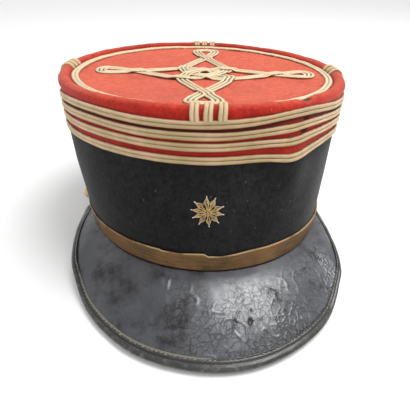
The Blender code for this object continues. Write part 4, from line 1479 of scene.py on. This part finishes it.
class KepiColours(bpy.types.PropertyGroup):
    black_cloth: colour_property("Black cloth", "Wool of the band", 0.0092, 0.0094, 0.0102)
    red_cloth: colour_property("Red cloth", "Wool of the side and rim", 0.45, 0.019, 0.009)
    faded_red: colour_property("Faded red", "Wool where the sun has bleached it", 0.61, 0.090, 0.043)
    lace: colour_property("Lace", "Pale metal thread of the braid", 0.74, 0.56, 0.33)
    pale_lace: colour_property("Pale lace", "Thread of the knot and the ring", 0.82, 0.70, 0.46)
    tarnish: colour_property("Tarnish", "Brown patches on the braid", 0.44, 0.35, 0.17)
    # The groove colour darkens the braids' grooves, and paints the shade on the knot's under-sheet and on the
    # star's pad, wires and stitches
    groove: colour_property("Groove", "Dirt between the cords", 0.055, 0.036, 0.016)
    wire: colour_property("Wire", "Bullion wire of the star", 1.0, 0.70, 0.32)
    patent: colour_property("Patent leather", "Lacquer of the peak", 0.020, 0.0205, 0.026)
    binding: colour_property("Binding", "Leather of the binding", 0.012, 0.012, 0.013)
    strap: colour_property("Strap", "Leather of the chin strap", 0.118, 0.060, 0.021)
    strap_edge: colour_property("Strap edge", "Bare leather of rubbed edges", 0.36, 0.24, 0.12)
    brass: colour_property("Brass", "Metal of the buttons", 0.56, 0.41, 0.22)
    floor: colour_property("Floor", "The floor under the cap", 0.93, 0.93, 0.93)


class KEPI_OT_band(bpy.types.Operator):
    """Makes the black cloth band"""

    bl_idname = "kepi.band"
    bl_label = "Band"

    def execute(self, context):
        add_piece("band_cloth", band_mesh(), black_cloth(), "black_cloth", "band")
        return {"FINISHED"}


class KEPI_OT_red_side(bpy.types.Operator):
    """Makes the red cloth side with its padded roll"""

    bl_idname = "kepi.red_side"
    bl_label = "Red side"

    def execute(self, context):
        material = red_cloth("red wool cloth", 0.75, 1.6)
        add_piece("red_cloth_side", red_side_mesh(), material, "red_cloth", "red_side")
        return {"FINISHED"}


class KEPI_OT_top(bpy.types.Operator):
    """Makes the sunken red top"""

    bl_idname = "kepi.top"
    bl_label = "Top"

    def execute(self, context):
        material = red_cloth("faded red wool cloth", 0.2, 1.1)
        add_piece("red_cloth_top", top_mesh(), material, "red_cloth", "top")
        return {"FINISHED"}


class KEPI_OT_galons(bpy.types.Operator):
    """Makes the four braids round the crown"""

    bl_idname = "kepi.galons"
    bl_label = "Galons"

    def execute(self, context):
        # lower=0.35 also paints shade and a highlight on each cord of the galons
        material = lace("gold braid", colour("lace"), GALON_WIDTH * GALON_SHRUNK / 2, 0.9, lower=0.35)
        for row in range(len(GALON_SPACES)):
            add_piece(f"braid_{row + 1}", galon_mesh(row), material, "gold_lace", f"galon_{row + 1}")
        return {"FINISHED"}


class KEPI_OT_top_ring(bpy.types.Operator):
    """Makes the braid that rings the top"""

    bl_idname = "kepi.top_ring"
    bl_label = "Top ring"

    def execute(self, context):
        material = lace("pale braid", colour("pale_lace"), RING_WIDTH / 2, 0.4)
        add_piece("braid_top_ring", top_ring_mesh(), material, "gold_lace", "top_ring")
        return {"FINISHED"}


class KEPI_OT_risers(bpy.types.Operator):
    """Makes the groups of short braids that climb over the roll"""

    bl_idname = "kepi.risers"
    bl_label = "Risers"

    def execute(self, context):
        material = lace("short braid", colour("lace"), GALON_WIDTH / 2, 0.9)
        for side, (name, degrees) in enumerate(RISER_GROUPS):
            for number in range(RISERS_IN_GROUP):
                mesh = riser_mesh(degrees, number, 200 + side * 10 + number)
                solid = f"riser_{name}_{number + 1}"
                add_piece(f"braid_{solid}", mesh, material, "gold_lace", solid)
        return {"FINISHED"}


class KEPI_OT_knot(bpy.types.Operator):
    """Makes the looped knot on the top"""

    bl_idname = "kepi.knot"
    bl_label = "Knot"

    def execute(self, context):
        material = lace("knot cord", colour("pale_lace"), KNOT_CORD_STEP, 0.45, half_step=0.5, pitch=0.0010)
        add_piece("knot_cords", knot_mesh(), material, "gold_lace", "top_knot")
        return {"FINISHED"}


class KEPI_OT_star(bpy.types.Operator):
    """Makes the embroidered star"""

    bl_idname = "kepi.star"
    bl_label = "Star"

    def execute(self, context):
        add_piece("star_wires", star_mesh(), bullion(), "gold_embroidery", "star")
        return {"FINISHED"}


class KEPI_OT_peak(bpy.types.Operator):
    """Makes the patent-leather peak"""

    bl_idname = "kepi.peak"
    bl_label = "Peak"

    def execute(self, context):
        add_piece("peak_leather", peak_mesh(), patent_leather(), "patent_leather", "peak")
        return {"FINISHED"}


class KEPI_OT_binding(bpy.types.Operator):
    """Makes the peak's binding and its stitches"""

    bl_idname = "kepi.binding"
    bl_label = "Binding"

    def execute(self, context):
        skin = {"worn": 0.9, "roughness": 0.42, "grain": 900.0, "streaks": 0.06}
        skin.update(dusty=0.12, gloss=0.4, coat=0.6)
        material = leather("binding leather", colour("binding"), BINDING_RUB, **skin)
        add_piece("peak_binding_leather", binding_mesh(), material, "binding_leather", "peak_binding")
        add_piece("binding_stitches", stitches_mesh(), waxed_thread(), "binding_leather")
        return {"FINISHED"}


class KEPI_OT_strap(bpy.types.Operator):
    """Makes the chin strap"""

    bl_idname = "kepi.strap"
    bl_label = "Chin strap"

    def execute(self, context):
        skin = {"worn": 1.0, "roughness": 0.6, "grain": 1100.0, "streaks": 0.16}
        skin.update(dusty=0.10, gloss=0.2)
        material = leather("strap leather", colour("strap"), colour("strap_edge"), **skin)
        add_piece("chin_strap_leather", strap_mesh(), material, "brown_leather", "chin_strap")
        return {"FINISHED"}


class KEPI_OT_buttons(bpy.types.Operator):
    """Makes the two ball buttons"""

    bl_idname = "kepi.buttons"
    bl_label = "Buttons"

    def execute(self, context):
        material = brass()
        for side, angle in (("left", BUTTON_LEFT_ANGLE), ("right", BUTTON_RIGHT_ANGLE)):
            add_piece(f"ball_button_{side}", button_mesh(angle), material, "brass", f"button_{side}")
        return {"FINISHED"}


class KEPI_OT_stage(bpy.types.Operator):
    """Makes the floor, the lights and the camera"""

    bl_idname = "kepi.stage"
    bl_label = "Stage"

    def execute(self, context):
        build_floor()
        build_lights()
        build_camera()
        return {"FINISHED"}


OPERATORS = (
    KEPI_OT_band,
    KEPI_OT_red_side,
    KEPI_OT_top,
    KEPI_OT_galons,
    KEPI_OT_top_ring,
    KEPI_OT_risers,
    KEPI_OT_knot,
    KEPI_OT_star,
    KEPI_OT_peak,
    KEPI_OT_binding,
    KEPI_OT_strap,
    KEPI_OT_buttons,
    KEPI_OT_stage,
)


class KEPI_PT_looks(bpy.types.Panel):
    """Lists the pieces of the kepi, with their sizes and colours"""

    bl_idname = "KEPI_PT_looks"
    bl_label = "Kepi looks"
    bl_space_type = "VIEW_3D"
    bl_region_type = "UI"
    bl_category = "Kepi"

    def draw(self, context):
        column = self.layout.column(align=True)
        for operator in OPERATORS:
            column.operator(operator.bl_idname)
        for settings in (context.scene.kepi_sizes, context.scene.kepi_colours):
            column = self.layout.column()
            for key in settings.__annotations__:
                column.prop(settings, key)


# The stage


def add_object(name, data):
    made = bpy.data.objects.new(name, data)
    bpy.context.scene.collection.objects.link(made)
    return made


def build_floor():
    """A pale floor under the cap."""
    half = sizes().floor_size / 2
    mesh = bpy.data.meshes.new("floor")
    corners = [(-half, -half, 0), (half, -half, 0), (half, half, 0), (-half, half, 0)]
    mesh.from_pydata(corners, [], [(0, 1, 2, 3)])
    tone = colour("floor")
    finish = Finish("pale floor", tone, 0.7)
    finish.feed(Base_Color=finish.place().noise(2.0).mix(tone * 0.985, tone))
    mesh.materials.append(finish.material)
    add_object("floor", mesh)


def build_lights():
    """Soft boxes round the cap and a white room."""
    for name, place, width, watts in SOFT_BOXES:
        light = bpy.data.lights.new(name, "AREA")
        light.shape = "DISK"
        light.size = width
        light.energy = watts
        made = add_object(f"soft_box_{name}", light)
        made.location = place
        made.rotation_euler = (LIGHT_TARGET - Vector(place)).to_track_quat("-Z", "Y").to_euler()
    scene = bpy.context.scene
    scene.world = bpy.data.worlds.new("white room")
    scene.world.use_nodes = True
    sky = scene.world.node_tree.nodes["Background"]
    sky.inputs["Color"].default_value = (1.0, 1.0, 1.0, 1.0)
    sky.inputs["Strength"].default_value = SKY_STRENGTH
    scene.view_settings.view_transform = "Standard"


def build_camera():
    """The camera, held where the cap shows its front and the whole of its top."""
    turn = Matrix.Rotation(CAMERA_SIDE, 4, "Z") @ Matrix.Rotation(math.pi / 2 - CAMERA_PITCH, 4, "X")
    back = Matrix.Translation((0, 0, CAMERA_DISTANCE)) @ Matrix.Rotation(CAMERA_ROLL, 4, "Z")
    rest = Matrix.Translation(REST_PLACE) @ Matrix.Rotation(REST_TILT, 4, "X")
    lens = bpy.data.cameras.new("camera")
    lens.sensor_width = SENSOR
    lens.lens = CAMERA_LENS
    lens.clip_start = 0.01
    camera = add_object("camera", lens)
    camera.matrix_world = rest @ Matrix.Translation(CAMERA_TARGET) @ turn @ back
    bpy.context.scene.camera = camera


CLASSES = (KepiSizes, KepiColours, *OPERATORS, KEPI_PT_looks)


def register():
    for each in CLASSES:
        bpy.utils.register_class(each)
    bpy.types.Scene.kepi_sizes = bpy.props.PointerProperty(type=KepiSizes)
    bpy.types.Scene.kepi_colours = bpy.props.PointerProperty(type=KepiColours)


def unregister():
    del bpy.types.Scene.kepi_colours
    del bpy.types.Scene.kepi_sizes
    for each in reversed(CLASSES):
        bpy.utils.unregister_class(each)


def main():
    register()
    for leftover in list(bpy.context.scene.objects):
        if leftover.name in ("Cube", "Light", "Camera"):
            bpy.data.objects.remove(leftover)
    for operator in OPERATORS:
        if getattr(bpy.ops.kepi, operator.bl_idname.split(".")[1])() != {"FINISHED"}:
            raise RuntimeError(f"{operator.bl_label} wasn't made")


if __name__ == "__main__":
    main()
